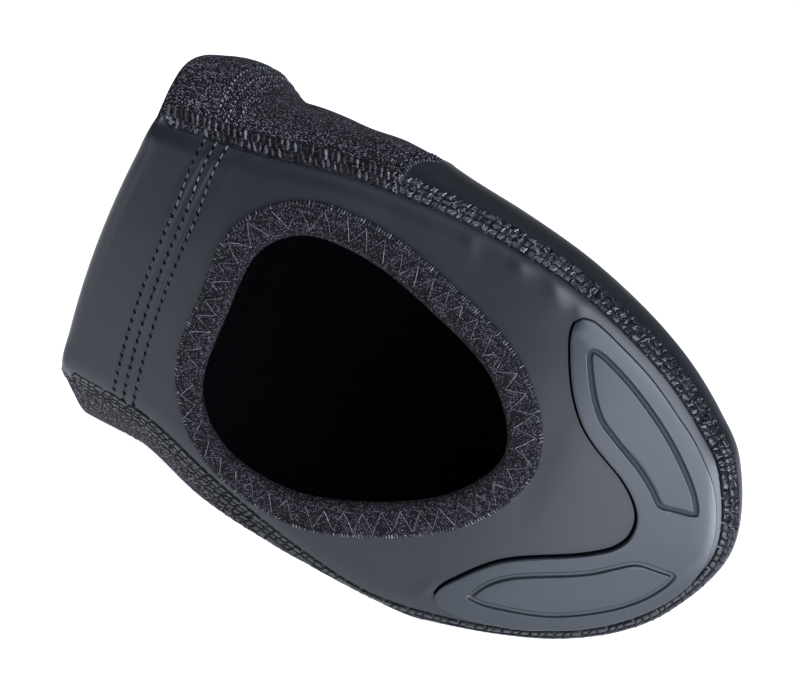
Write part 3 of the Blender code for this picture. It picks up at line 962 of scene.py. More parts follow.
# %% The tape's section
TAPE_WIDTH, TAPE_INSIDE = 8.4, 6.5
TAPE_STATIONS = 420
ZIGZAG_PITCH = 4.6
ZIGZAG_IN, ZIGZAG_OUT = 2.1, 6.9
TUCKED_TOWARDS, TUCKED = np.array([-0.68, 0.73]), 0.34
EDGE_WAVE = 0.12
SEWN_HALF, SEWN_DEPTH, SEWN_WAVE = 2.4, 0.16, 0.07


def tape_share(out):
    """How much of the tape's width shows where the hole's edge faces that way."""
    return 1 - TUCKED * smoothstep((out @ TUCKED_TOWARDS - 0.5) / 0.5)


top = GAP + TAPE
bottom = -SOLE_WALL - GAP - TAPE
turn = np.linspace(np.pi / 2, 3 * np.pi / 2, 11)
middle = (top + bottom) / 2
fold_round = [(TAPE * 1.6 * (1 + np.cos(a)), middle + (0.86 * top - middle) * np.sin(a)) for a in turn]
outer_leg = [(reach, GAP * 0.5) for reach in np.linspace(2.0, TAPE_WIDTH, 7)]
edge_round = [(TAPE_WIDTH + 0.10, GAP + 0.35), (TAPE_WIDTH - 0.05, GAP + 0.8),
              (TAPE_WIDTH - 0.4, top - 0.12)]
upper_leg = [(reach, top * (0.78 + 0.34 * np.sin(np.pi * (reach - 1.2) / 7.4)))
             for reach in np.linspace(TAPE_WIDTH - 1.0, 2.4, 14)]
inner_leg = [(reach, bottom) for reach in np.linspace(2.4, TAPE_INSIDE, 5)]
inner_back = [(reach, bottom + TAPE) for reach in np.linspace(TAPE_INSIDE, 2.0, 5)]
section = np.array(outer_leg + edge_round + upper_leg + fold_round + inner_leg + inner_back)
print("tape section:", len(section), "points")

# %% The binding tape
around = np.linspace(0, HOLE.length, TAPE_STATIONS + 1)[:-1]
rim, rim_out = HOLE.at(around)
beat = 2 * np.pi * around / ZIGZAG_PITCH
from_hole, height = section[:, :1], section[:, 1:]
reach = from_hole + EDGE_WAVE * np.sin(beat * 0.5 + 1.3) * smoothstep((from_hole - 6) / 2)
sewn = np.exp(-((from_hole - (ZIGZAG_IN + ZIGZAG_OUT) / 2) / SEWN_HALF) ** 2) * (height > 0.75 * top)
height = height - sewn * (SEWN_DEPTH + SEWN_WAVE * np.cos(beat))
tape_plan = rim + rim_out * (reach * tape_share(rim_out))[..., None]
tape_rows = joined(tape_plan, tread(tape_plan)) + tread_normal(tape_plan) * height[..., None]
tape_rows = np.concatenate([tape_rows, tape_rows[:1]])
quads = grid_quads(len(tape_rows), TAPE_STATIONS, closed=True)
count = len(section) * TAPE_STATIONS
binding = add_piece("binding_tape", tape_rows[:-1].reshape(-1, 3), quads % count, len(quads), tape)

# %% [markdown]
# The toe guard is one moulding along the feather line, with two arms and a round notch between them.
# On each arm a shallow channel outlines a leaf.  Boolean cuts would leave ragged faces on the curved
# tread.  Instead straight lines are ruled from the guard's outer to its inner edge, their points crowd
# where they cross a leaf's outline, and the channel's depth follows the distance to that outline.

# %% Guard outlines
GUARD_OUTER = table(
    "x y",
    (107.0, 46.9), (107.3, 48.0), (108.9, 49.2), (112.8, 49.5), (118.6, 49.4),
    (125.1, 48.4), (130.8, 47.0), (136.3, 44.9), (141.7, 42.7), (147.6, 39.2),
    (153.6, 34.5), (158.1, 30.1), (161.8, 24.2), (163.6, 18.4), (163.9, 12.2),
    (162.4, 5.8), (160.4, 1.0), (157.9, -3.3), (154.3, -7.6), (149.3, -12.5),
    (144.0, -16.5), (138.7, -20.4), (133.7, -23.6), (129.0, -26.1), (124.5, -28.2),
    (120.0, -30.2), (116.5, -31.3), (114.1, -31.0), (112.9, -29.6),
)
GUARD_INNER = table(
    "x y",
    (107.0, 46.9), (107.4, 45.4), (108.3, 43.6), (110.5, 40.9), (114.1, 36.8),
    (118.0, 33.2), (122.3, 30.5), (127.5, 28.0), (133.7, 25.2), (138.9, 22.4),
    (142.4, 19.8), (144.6, 16.6), (145.1, 13.0), (144.2, 9.6), (141.6, 6.0),
    (137.5, 2.4), (132.6, -0.6), (128.2, -3.3), (123.7, -7.0), (119.5, -12.4),
    (116.8, -17.2), (114.6, -22.1), (113.3, -25.5), (112.8, -28.0), (112.9, -29.6),
)
LATERAL_LEAF = table(
    "x y",
    (118.6, -25.4), (120.3, -25.7), (127.9, -22.6), (138.2, -16.2), (146.9, -9.2),
    (154.7, -0.8), (157.5, 4.0), (157.6, 5.2), (156.8, 5.7), (152.7, 6.0),
    (148.8, 6.3), (147.6, 5.9), (144.4, 2.8), (140.4, -0.5), (131.0, -6.4),
    (127.0, -9.2), (123.6, -13.3), (121.2, -17.2), (119.4, -20.6), (118.1, -24.0),
)
MEDIAL_LEAF = table(
    "x y",
    (114.3, 44.1), (115.2, 41.4), (117.7, 37.9), (121.7, 34.7), (127.0, 32.0),
    (135.1, 28.5), (139.4, 26.3), (143.5, 23.5), (147.0, 21.2), (149.2, 20.4),
    (154.0, 20.4), (158.0, 20.7), (158.7, 21.6), (158.2, 23.6), (156.0, 27.3),
    (152.4, 31.4), (146.4, 35.9), (135.1, 41.6), (124.4, 44.1), (117.0, 44.9),
)


def leaf_depth(xy, leaf):
    """Distance of points inside a leaf's outline; negative outside."""
    outline = Outline(in_plan(leaf), closed=True)
    sign = np.sign(((in_plan(leaf).mean(axis=0) - outline.points[0]) * outline.normals[0]).sum())
    way, normals = outline.nearest(xy)
    return np.sign(sign * (way * normals).sum(-1)) * np.linalg.norm(way, axis=-1)


print("guard notch at x =", GUARD_INNER["x"].max(), "mm; toe tip at", TOE_TIP[0])

# %% Where the guard's ruled lines cross the leaves
GUARD_STATIONS, CROSSING_STEPS = 600, 120
CUT_ZONE, CUT_CROWDING = (9.0, 18.0), 2.5

outer_edge, inner_edge = Outline(in_plan(GUARD_OUTER)), Outline(in_plan(GUARD_INNER))
dense = np.linspace(0, 1, 3000)
tip_share = outer_edge.arc[np.argmax(outer_edge.points[:, 0])] / outer_edge.length
from_tip = abs(dense - tip_share) * outer_edge.length
weight = 1 + CUT_CROWDING * ((from_tip > CUT_ZONE[0]) & (from_tip < CUT_ZONE[1]))
weight = np.cumsum(weight) - weight[0]
share = np.interp(np.linspace(0, weight[-1], GUARD_STATIONS), weight, dense)
outer = outer_edge.at(share * outer_edge.length)[0]
inner = inner_edge.at(share * inner_edge.length)[0]
gap = np.maximum(np.linalg.norm(inner - outer, axis=1), 0.01)
fine = np.linspace(0, 1, CROSSING_STEPS)
enter, leave = np.full(GUARD_STATIONS, np.nan), np.full(GUARD_STATIONS, np.nan)
for leaf, side in ((MEDIAL_LEAF, share < tip_share), (LATERAL_LEAF, share > tip_share)):
    rows = np.flatnonzero(side)
    line = outer[rows, None] + fine[None, :, None] * (inner - outer)[rows, None]
    depth = leaf_depth(line, leaf)
    for row, across in zip(rows, depth):
        hits = np.flatnonzero(across > 0)
        if len(hits) > 1:
            first, last = hits[0], hits[-1]
            enter[row] = np.interp(0, across[first - 1:first + 1], fine[first - 1:first + 1])
            leave[row] = np.interp(0, -across[last:last + 2], fine[last:last + 2])
crossed = np.flatnonzero(~np.isnan(enter))
enter = np.interp(np.arange(GUARD_STATIONS), crossed, enter[crossed]) * gap
leave = np.interp(np.arange(GUARD_STATIONS), crossed, leave[crossed]) * gap
print("ruled lines that cross a leaf:", len(crossed), "of", GUARD_STATIONS)

# %% Points across the guard
EDGE_STEPS = np.array([0, 0.03, 0.1, 0.22, 0.4])
CLUSTER = np.linspace(-0.08, 1.0, 15)

levels = []
for low, high, width in zip(enter, leave, gap):
    edge = EDGE_STEPS * min(1, width / 5)
    ditch = np.clip((high - low) / 2.2, 0.02, 2.0)
    levels.append(np.sort(np.concatenate([
        edge,
        np.linspace(edge[-1], low - 0.16 * ditch, 8)[1:-1],
        low + ditch * CLUSTER,
        np.linspace(low + ditch, high - ditch, 13)[1:-1],
        high - ditch * CLUSTER,
        np.linspace(high + 0.16 * ditch, width - edge[-1], 9)[1:-1],
        width - edge,
    ])))
levels = np.clip(np.array(levels), 0, gap[:, None])
print("guard grid:", levels.shape)

# %% The guard
GUARD_HEIGHT, GUARD_RADIUS = 1.2, 0.35
OUTER_HEIGHT, OUTER_SLOPE = 0.8, 6.0
CHANNEL_WIDTH, CHANNEL_DEPTH, CHANNEL_WALL = 1.5, 0.75, 0.40

plan = outer[:, None] + (levels / gap[:, None])[..., None] * (inner - outer)[:, None]
thick = OUTER_HEIGHT + (GUARD_HEIGHT - OUTER_HEIGHT) * smoothstep(levels / OUTER_SLOPE)
top = thick - round_off(np.minimum(levels, gap[:, None] - levels), GUARD_RADIUS)
ditches = []
for leaf in (LATERAL_LEAF, MEDIAL_LEAF):
    depth = leaf_depth(plan, leaf)
    ditches.append(smoothstep(depth / CHANNEL_WALL) * smoothstep((CHANNEL_WIDTH - depth) / CHANNEL_WALL))
top = top - CHANNEL_DEPTH * sum(ditches)
face, turned = joined(plan, tread(plan)), tread_normal(plan)
front = face + turned * (top + GAP)[..., None]
back = face + turned * GAP * 0.4
guard = add_piece("toe_guard_moulding", *shell(front, back), guard_rubber, sharp_deg=60)
guard.data.materials.append(channel_floor_painted)
# The lateral leaf's channel floor takes the dull material, with its painted paler colour
dull_painted_faces = np.zeros(len(guard.data.polygons), np.int32)
around_face = grid_quads(*top.shape)
dull_painted_faces[:len(around_face)] = ditches[0].ravel()[around_face].mean(axis=1) > 0.9
guard.data.polygons.foreach_set("material_index", dull_painted_faces)

# %% [markdown]
# The dark line round the guard, wider along the notch, is painted shade: a black film cut a little
# larger than the guard shows round its edge.  It is one thin sheet under the whole guard, ruled
# between the same two edges.

# %% The black film of painted shade
SHADE_LINE_INNER, SHADE_LINE_OUTER = 0.55, 0.22
SHADE_LINE_HEIGHT, SHADE_LINE_SUNK = 0.16, 0.4

film = np.linspace(0, 1, 24)[None, :, None]
rims = []
for edge, width in ((outer_edge, SHADE_LINE_OUTER), (inner_edge, SHADE_LINE_INNER)):
    points, away = edge.at(share * edge.length)
    centre = (outer + inner) / 2
    away = away * np.sign(((points - centre) * away).sum(axis=1).mean())
    rims.append(points + away * width)
plan = rims[0][:, None] * (1 - film) + rims[1][:, None] * film
face, turned = joined(plan, tread(plan)), tread_normal(plan)
shade_line = add_piece("guard_painted_shade_line", *shell(face + turned * SHADE_LINE_HEIGHT, face - turned * SHADE_LINE_SUNK), shade_line_film)

# %% [markdown]
# A flatlock seam joins the sole panel to the upper: the two edges butt together and threads cross
# over both.  Between the threads the film swells into small pillows.  Projecting them onto the
# finished meshes would need a search for every point.  Instead the surface beside the seam is laid
# out once as a grid, read by the arc along the line and by the distance across it, the sole side
# negative.

# %% Surface beside the seam
BESIDE_REACH = 8.0
BESIDE_ARCS = np.linspace(0, SEAM.length, 900)
BESIDE_STEPS = np.linspace(-BESIDE_REACH, BESIDE_REACH, 65)
RIB_POINTS, RIB_TOP = 90, 1.3

foot, out = SEAM.at(BESIDE_ARCS)
back_off = -BESIDE_STEPS[BESIDE_STEPS < 0]
angle = EDGE_TILT - back_off / EDGE_RADIUS
bent = EDGE_RADIUS * (np.sin(EDGE_TILT) - np.sin(np.clip(angle, 0, None)))
flat_part = EDGE_RADIUS * np.clip(-angle, 0, None)
plan = foot[:, None] - (bent + flat_part)[:, None] * out[:, None]
beside_sole = joined(plan, tread(plan))
climbs = np.tile(np.linspace(0, RIB_TOP, RIB_POINTS), (len(BESIDE_ARCS), 1))
rib = upper_skin(np.repeat(BESIDE_ARCS[:, None], RIB_POINTS, axis=1), climbs)
run = np.cumsum(np.linalg.norm(np.diff(rib, axis=1, prepend=rib[:, :1]), axis=-1), axis=1)
forward_steps = BESIDE_STEPS[BESIDE_STEPS >= 0]
beside_upper = np.array([read_along(forward_steps, *pair) for pair in zip(run, rib)])
BESIDE = np.concatenate([beside_sole, beside_upper], axis=1)
BESIDE_NORMAL = grid_normals(BESIDE)
if BESIDE_NORMAL[len(BESIDE_ARCS) // 2, 10, 2] > 0:
    BESIDE_NORMAL = -BESIDE_NORMAL


def beside_seam(arc, across):
    """Points and normals of the cover near the feather line."""
    last_row, last_column = len(BESIDE_ARCS) - 1, len(BESIDE_STEPS) - 1
    row = np.clip(arc / SEAM.length * last_row, 0, last_row - 0.001)
    column = np.clip((across + BESIDE_REACH) / (2 * BESIDE_REACH) * last_column, 0, last_column - 0.001)
    i, j = row.astype(int), column.astype(int)
    u, v = (row - i)[..., None], (column - j)[..., None]
    read = []
    for grid in (BESIDE, BESIDE_NORMAL):
        near = grid[i, j] * (1 - v) + grid[i, j + 1] * v
        far = grid[i + 1, j] * (1 - v) + grid[i + 1, j + 1] * v
        read.append(near * (1 - u) + far * u)
    return read[0], unit(read[1])


print("beside the seam:", BESIDE.shape[:2], "points")

# %% [markdown]
# Four chains of thread hold three rows of pillows between them.  Sewing is never regular: the beats
# drift along the seam and each pillow has a tilt and a height of its own.  The film is dull round the
# toe and along the lateral side takes a paler copy of itself as painted highlight, and on the knit the
# seam is as soft as the tape, so the bed comes in four stretches.

# %% The seam's pillows
STITCH = 2.15
CHAINS = (-2.3, -0.5, 1.3, 3.2)
PILLOW_SLANT, PILLOW_TILT, PILLOW_UNEVEN = 0.16, 0.45, 0.35
BAND_ACROSS, BAND_STEP, BAND_BRIM = 31, 0.24, 0.2
BED_TOP, BED_SUNK = 0.08, 0.35
SEAM_MARGIN, SEAM_FADE = 0.4, 3.0
DULL_FROM = TIP_ARC + 10
ROPE_FROM = float(seam_arc(62.0, -1))
DULL_TO = float(seam_arc(112.0, -1))
LOT = np.random.default_rng(7)


def drift(arc, row):
    """How far the beats of a row stray along the seam, in beats."""
    return 0.12 * row + 0.14 * np.sin(1.9 * arc + 2 * row) + 0.10 * np.sin(3.1 * arc + row)


def seam_bed(name, first, last, film, pillow):
    """A stretch of the seam: rows of flat pillows between the threads, each with a tilt of its own."""
    arc = np.linspace(first, last, int((last - first) / BAND_STEP))[:, None]
    across = np.linspace(CHAINS[0] - BAND_BRIM, CHAINS[-1] + BAND_BRIM, BAND_ACROSS)
    arc, across = np.broadcast_arrays(arc, across)
    height = np.full(arc.shape, -0.02)
    for row, (low, high) in enumerate(zip(CHAINS, CHAINS[1:])):
        over = (2 * across - low - high) / (high - low)
        beat = arc / STITCH + PILLOW_SLANT * over + drift(arc, row)
        number = np.clip(beat, 0, None).astype(int)
        along = 2 * (beat - number) - 1
        lots = LOT.uniform(-1, 1, (3, int(SEAM.length / STITCH) + 3))
        flat = np.clip(1 - over ** 4, 0, None) * np.clip(1 - along ** 4, 0, None)
        uneven, across_tilt, along_tilt = lots[:, number]
        tilt = 1 + PILLOW_UNEVEN * uneven + PILLOW_TILT * (across_tilt * over + along_tilt * along)
        height = np.maximum(height, pillow * flat * tilt)
    height = height * smoothstep((np.minimum(arc, SEAM.length - arc) - SEAM_MARGIN) / SEAM_FADE)
    face, turned = beside_seam(arc, across)
    front = face + turned * (height + BED_TOP)[..., None]
    return add_piece(name, *shell(front, face - turned * BED_SUNK), film)


seam_beds = [
    seam_bed("flatlock_medial", SEAM_MARGIN, DULL_FROM, sole_film, 0.22),
    seam_bed("flatlock_toe", DULL_FROM, DULL_TO, sole_film, 0.42),
    # The lateral stretch takes the paler film, a painted highlight on its pillows
    seam_bed("flatlock_lateral", DULL_TO, ROPE_FROM, highlight_film, 0.48),
    seam_bed("flatlock_rope", ROPE_FROM, SEAM.length - SEAM_MARGIN, tape, 0.22),
]
print("flatlock pillows in", len(seam_beds), "stretches")

# %% [markdown]
# Every visible thread is one short piece: a six-sided rod that arches and dips into the cloth at both
# ends.  There are nearly four thousand of them.  Hair curves could draw them, but the export needs
# meshes, so a Geometry Nodes tree puts one rod on each point of a small mesh, turns it by two direction
# attributes and scales it by its own length and thickness.

# %% The sewing tree
def build_sewing():
    tree = bpy.data.node_groups.new("sewn_threads", "GeometryNodeTree")
    interface = tree.interface
    interface.new_socket("Stitches", in_out="INPUT", socket_type="NodeSocketGeometry")
    for name, kind in (("Arch", "NodeSocketFloat"), ("Uneven", "NodeSocketFloat"), ("Seed", "NodeSocketInt"),
                       ("Thread", "NodeSocketMaterial")):
        interface.new_socket(name, in_out="INPUT", socket_type=kind)
    interface.new_socket("Threads", in_out="OUTPUT", socket_type="NodeSocketGeometry")
    given = tree.nodes.new("NodeGroupInput").outputs

    rod = add(tree, "GeometryNodeMeshCylinder",
              {"Vertices": 6, "Side Segments": 6, "Radius": 0.5, "Depth": 1.0})
    place = add(tree, "ShaderNodeSeparateXYZ", {0: add(tree, "GeometryNodeInputPosition").outputs[0]})
    squared = reckon(tree, "MULTIPLY", place.outputs["Z"], place.outputs["Z"])
    sunk = reckon(tree, "MULTIPLY", reckon(tree, "MULTIPLY", squared, given["Arch"]), -4.0)
    shift = add(tree, "ShaderNodeCombineXYZ", {"X": sunk})
    arched = add(tree, "GeometryNodeSetPosition",
                 {"Geometry": rod.outputs["Mesh"], "Offset": shift.outputs[0]})

    along, facing, size = (add(tree, "GeometryNodeInputNamedAttribute", {"Name": name},
                               data_type="FLOAT_VECTOR").outputs[0] for name in ("along", "facing", "size"))
    turned = add(tree, "FunctionNodeAlignRotationToVector", {"Vector": along}, axis="Z")
    rolled = add(tree, "FunctionNodeAlignRotationToVector",
                 {"Rotation": turned.outputs[0], "Vector": facing}, axis="X", pivot_axis="Z")
    low, high = (reckon(tree, operation, 1.0, given["Uneven"]) for operation in ("SUBTRACT", "ADD"))
    vary = add(tree, "FunctionNodeRandomValue", {2: low, 3: high, "Seed": given["Seed"]}, data_type="FLOAT")
    scale = add(tree, "ShaderNodeVectorMath", {0: size, "Scale": vary.outputs[1]}, operation="SCALE")
    laid_on = add(tree, "GeometryNodeInstanceOnPoints",
                  {"Points": given["Stitches"], "Instance": arched.outputs["Geometry"],
                   "Rotation": rolled.outputs[0], "Scale": scale.outputs[0]})
    real = add(tree, "GeometryNodeRealizeInstances", {"Geometry": laid_on.outputs[0]})
    smooth = add(tree, "GeometryNodeSetShadeSmooth", {"Geometry": real.outputs[0]})
    coloured = add(tree, "GeometryNodeSetMaterial",
                   {"Geometry": smooth.outputs[0], "Material": given["Thread"]})
    add(tree, "NodeGroupOutput", {"Threads": coloured.outputs[0]})
    return tree


sewing = build_sewing()
print("sewing tree:", len(sewing.nodes), "nodes")

# %% Sew with it
# Threads nearer to the floor than this are hidden under the cover and left out
FLOOR_CLEAR = 0.9


def sew(name, starts, ends, facing, thickness, shade, arch=0.5, uneven=0.06, seed=1):
    """Threads from starts to ends, in mm on the last, as one plain mesh."""
    starts, ends, facing = (np.reshape(part, (-1, 3)) for part in (starts, ends, facing))
    clear = (starts + ends) @ down / 2 < REST_REACH - FLOOR_CLEAR
    thick, shade = (np.broadcast_to(part, len(starts))[clear] for part in (thickness, shade))
    starts, ends, facing = starts[clear], ends[clear], facing[clear]
    count = len(starts)
    length = np.linalg.norm(ends - starts, axis=1)
    columns = {
        "along": ("FLOAT_VECTOR", "vector", unit(ends - starts) @ REST_AXES),
        "facing": ("FLOAT_VECTOR", "vector", unit(facing) @ REST_AXES),
        "size": ("FLOAT_VECTOR", "vector", np.stack([thick, thick, length], axis=1) * MM),
        "shade": ("FLOAT", "value", shade),
    }
    mesh = bpy.data.meshes.new(name)
    mesh.from_pydata(laid((starts + ends) / 2).tolist(), [], [])
    for column, (kind, field, numbers) in columns.items():
        attribute = mesh.attributes.new(column, kind, "POINT")
        attribute.data.foreach_set(field, np.ascontiguousarray(numbers, np.float32).ravel())
    piece = put(name, mesh)
    modifier = piece.modifiers.new("sewing", "NODES")
    modifier.node_group = sewing
    given = {"Arch": arch, "Uneven": uneven, "Seed": seed, "Thread": thread}
    for item in sewing.interface.items_tree:
        if item.in_out == "INPUT" and item.name in given:
            modifier[item.identifier] = given[item.name]
    evaluated = piece.evaluated_get(bpy.context.evaluated_depsgraph_get())
    sewn = bpy.data.meshes.new_from_object(evaluated)
    piece.modifiers.remove(modifier)
    piece.data = sewn
    bpy.data.meshes.remove(mesh)
    sewn.name = name
    places = np.empty(3 * len(sewn.vertices), np.float32)
    sewn.vertices.foreach_get("co", places)
    places[2::3] = np.maximum(places[2::3], 0)
    sewn.vertices.foreach_set("co", places)
    print(f"{name}: {count} threads, {len(sewn.vertices)} points")
    return piece


print("ready to sew with", thread.name)

# %% [markdown]
# Round the feather line the dark threads lie in four chains, each with a row of scallops beside it, and
# slanted threads cross the three rows of pillows between.  On the lateral side paler looper threads
# and loose curls lie on top; their paleness is painted glint, duller towards the toe.  On the knit, by
# the collar, the same seam shows two rows of leaning loops, so it looks like a fine rope.  Each kind is
# one call with its own numbers, because they differ only in where a thread starts and ends.

# %% Threads of the flatlock seam
BEATS = np.arange(2, int(SEAM.length / STITCH) - 1) * STITCH
CHAIN_THREAD, LOOPER_THREAD, OVERLAP, BLACK = 0.52, 0.28, 0.02, 0.005
LATERAL = BEATS[(BEATS > TIP_ARC + 6) & (BEATS < ROPE_FROM + 4)]
# Painted highlight: how pale the looper threads and curls are drawn, from dull at the toe to full towards the
# collar
SHINE = 0.3 + 0.7 * smoothstep((LATERAL - TIP_ARC) / (ROPE_FROM - TIP_ARC))


seam_threads = []


def seam_sew(name, starts, ends, lift, thickness, shade, arch, seed, bulge=None):
    """Threads between places beside the seam, an arc and a distance across; a bulge arches them flat."""
    first, normal_a = beside_seam(*np.broadcast_arrays(*starts))
    second, normal_b = beside_seam(*np.broadcast_arrays(*ends))
    facing = normal_a + normal_b
    if bulge is not None:
        facing = bulge * np.cross(facing, second - first)
    lift = np.broadcast_to(lift, len(first))[:, None]
    shade = shade + LOT.uniform(0, 0.04, len(first))
    seam_threads.append(sew(name, first + normal_a * lift, second + normal_b * lift, facing, thickness, shade,
                            arch, seed=seed))


proud = 0.16 + 0.16 * smoothstep((BEATS - TIP_ARC) / 20)
for number, chain in enumerate(CHAINS):
    start = BEATS - drift(BEATS, number) * STITCH
    starts, ends = (start - OVERLAP * STITCH, chain), (start + (1 + OVERLAP) * STITCH, chain)
    for label, bulge, arch in (("chain", None, 0.35), ("scallop", 1 if number < 2 else -1, 0.9)):
        seam_sew(f"flatlock_{label}_{number + 1}", starts, ends, proud, CHAIN_THREAD, BLACK, arch,
                 number + 1, bulge)
for number, (low, high) in enumerate(zip(CHAINS, CHAINS[1:])):
    start = BEATS - drift(BEATS, number) * STITCH + LOT.uniform(-0.2, 0.2, len(BEATS))
    slant = PILLOW_SLANT * STITCH + LOT.uniform(-0.25, 0.25, len(BEATS))
    thickness = LOT.uniform(0.36, 0.66, len(BEATS))
    seam_sew(f"flatlock_cross_{number + 1}", (start + slant, low), (start - slant, high), proud + 0.10,
             thickness, BLACK, 0.15, 10 + number)
    start = LATERAL + (0.4 - drift(LATERAL, number)) * STITCH + LOT.uniform(-0.4, 0.4, len(LATERAL))
    # Painted glint: the looper threads' pale shades, scaled by SHINE
    shade = 0.9 * SHINE * LOT.uniform(0, 1, len(LATERAL)) ** 2
    seam_sew(f"flatlock_looper_{number + 1}", (start + 0.3, low + 0.2), (start - 0.1, high - 0.3), 0.54,
             LOOPER_THREAD, shade, 0.6, 13 + number, 1)
print("flatlock:", len(BEATS), "beats,", len(LATERAL), "of them with looper threads")

# %% Loose curls and the loops on the knit
CURLS, CURL_THREAD, CURL_HALF = 4, 0.22, 0.45
RING, RING_ROWS = 1.55, ((0.2, 3.4), (-2.3, 0.2))

arc = np.repeat(LATERAL, CURLS) + LOT.uniform(-1, 1, CURLS * len(LATERAL))
across = LOT.uniform(CHAINS[0] + 0.3, CHAINS[-1] - 0.1, len(arc))
lean = LOT.uniform(-0.3, 0.6, len(arc))
# Painted glint: the curls' pale shades, scaled by SHINE
shade = np.repeat(SHINE, CURLS) * (0.1 + 0.8 * LOT.uniform(0, 1, len(arc)) ** 3)
side = LOT.choice([-1, 1], (len(arc), 1))
starts, ends = (arc - lean, across - CURL_HALF), (arc + lean, across + CURL_HALF)
seam_sew("flatlock_curls", starts, ends, 0.58, CURL_THREAD, shade, 0.9, 15, side)
rings = np.arange(ROPE_FROM - 2, SEAM.length - SEAM_MARGIN - 0.8, RING)
for number, (low, high) in enumerate(RING_ROWS):
    at = rings + LOT.uniform(-0.2, 0.2, len(rings))
    lean = 0.5 + LOT.uniform(-0.2, 0.2, len(rings))
    thickness = LOT.uniform(0.6, 0.9, len(rings))
    shade = 0.04 + (0.46 - 0.18 * number) * LOT.uniform(0, 1, len(rings)) ** 1.6
    seam_sew(f"flatlock_ring_{number + 1}", (at - lean, low), (at + lean, high), 0.34, thickness, shade, 0.4,
             16 + number)
print("curls:", len(arc), "and loops on the knit:", len(RING_ROWS) * len(rings))

# %% [markdown]
# The hem is sewn with three rows of coverstitch.  On the sole a short slanted black thread piece sits in
# each needle hole as painted shade for the dented hole, and the thread is drawn flat between two of
# them; on the knit the same rows go on round the collar with closer stitches.  The rows bend to the
# collar at their lateral end, and the thread is paler there, a painted highlight.  A dashed texture
# would show the rows but not stand in the light, so these are threads like the seam's.

# %% Rows of stitches
STITCH_HALF, STITCH_LIFT = 0.42, 0.10
# Half length, slant and thickness of the black pieces painted as shade in the needle holes
HOLE_SHADE_HALF, HOLE_SHADE_SLANT, HOLE_SHADE_THICK = 0.24, 0.6, 1.4


def spaced(path, normals, pitch, offset=0.5):
    """Points every pitch along a path, with the path's direction and the face's normal there."""
    run = run_along(path)
    at = (np.arange(int(run[-1] / pitch)) + offset) * pitch
    ahead, behind = (read_along(at + shift, run, path) for shift in (0.05, -0.05))
    return read_along(at, run, path), unit(ahead - behind), unit(read_along(at, run, normals))


def upper_row(x, side, climbs):
    """A row over one side of the upper, and the normals of the face along it."""
    x = np.broadcast_to(x, len(climbs))
    path, ahead = (upper_skin(seam_arc(x + step, side), climbs) for step in (0, 0.4))
    normals = unit(np.cross(np.gradient(path, axis=0), ahead - path))
    return path, normals if normals[-1, 2] >= 0 else -normals


def dotted(name, path, normals, pitch, pale, seed, thickness):
    """A sewn row: flat threads along a path, and a black piece in each needle hole between them as painted
    shade.
    """
    at, along, facing = spaced(path, normals, pitch)
    shade = np.clip(pale(at) * LOT.uniform(0.5, 1.4, len(at)), 0.01, 1)
    half = along * pitch * STITCH_HALF
    low = facing * STITCH_LIFT
    rows = [sew(name, at - half + low, at + half + low, facing, thickness, shade, 0.4, seed=seed)]
    # Painted shade: a short black piece in each needle hole stands for the shade of the dent
    hole_shade = unit(along + HOLE_SHADE_SLANT * np.cross(facing, along)) * HOLE_SHADE_HALF * pitch
    middle = at + along * pitch / 2 + low * 1.5
    rows.append(sew(name + "_hole_shades", middle - hole_shade, middle + hole_shade, facing, HOLE_SHADE_THICK * thickness, 0.0, 0.35,
                    seed=seed + 100))
    return rows


print("a thread covers", 2 * STITCH_HALF, "of its stitch")

# %% Threads of the hem
HEM_STITCH, KNIT_STITCH = 2.35, 1.75
HEM_THREAD, KNIT_THREAD = 0.40, 0.34
HEM_BEND, HEM_MARGIN = 1.5, 1.6
ROW_POINTS = 300
SIDES = ((1, "medial"), (-1, "lateral"))
# Climbs where the rows on the knit begin; on the medial side the first part lies on the floor
KNIT_ROWS_FROM = {1: 0.75, -1: 0.10}


# Painted highlight: the hem thread on the sole grows paler towards the lateral end
def hem_painted_highlight(at):
    return 0.09 + 0.28 * smoothstep((-6 - at[:, 1]) / 24)


hem_threads = []
for number, row in enumerate(HEM_ROWS):
    low, high = value(FEATHER, "lateral", row), value(FEATHER, "medial", row)
    y = np.linspace(low + HEM_MARGIN, high - HEM_MARGIN, ROW_POINTS)
    bend = HEM_BEND * smoothstep((-y - 14) / 18)
    plan = np.stack([row + rear_edge(y) - bend, y], axis=1)
    path = on_tread(plan, np.full(ROW_POINTS, 0.02))
    hem_threads += dotted(f"hem_row_sole_{number + 1}", path, tread_normal(plan), HEM_STITCH, hem_painted_highlight,
                          20 + number, HEM_THREAD)
    for side, side_name in SIDES:
        climbs = np.linspace(KNIT_ROWS_FROM[side], 2, 400)
        path, normals = upper_row(row - HEM_BEND * (side < 0), side, climbs)
        hem_threads += dotted(f"hem_row_{side_name}_{number + 1}", path + normals * STITCH_LIFT, normals,
                              KNIT_STITCH, lambda at: 0.60, 30 + number, KNIT_THREAD)
print("hem rows:", len(hem_threads) // 2)

# %% [markdown]
# One zigzag holds the binding tape down.  Each of its legs is sewn in two halves, so that it can follow
# the hump of the tape, and one leg in two is paler, painted sheen.  The tape's own edge is a close row of
# tiny loops.
# Both are placed by their share of the way round, so they still fit if the hole's outline changes.

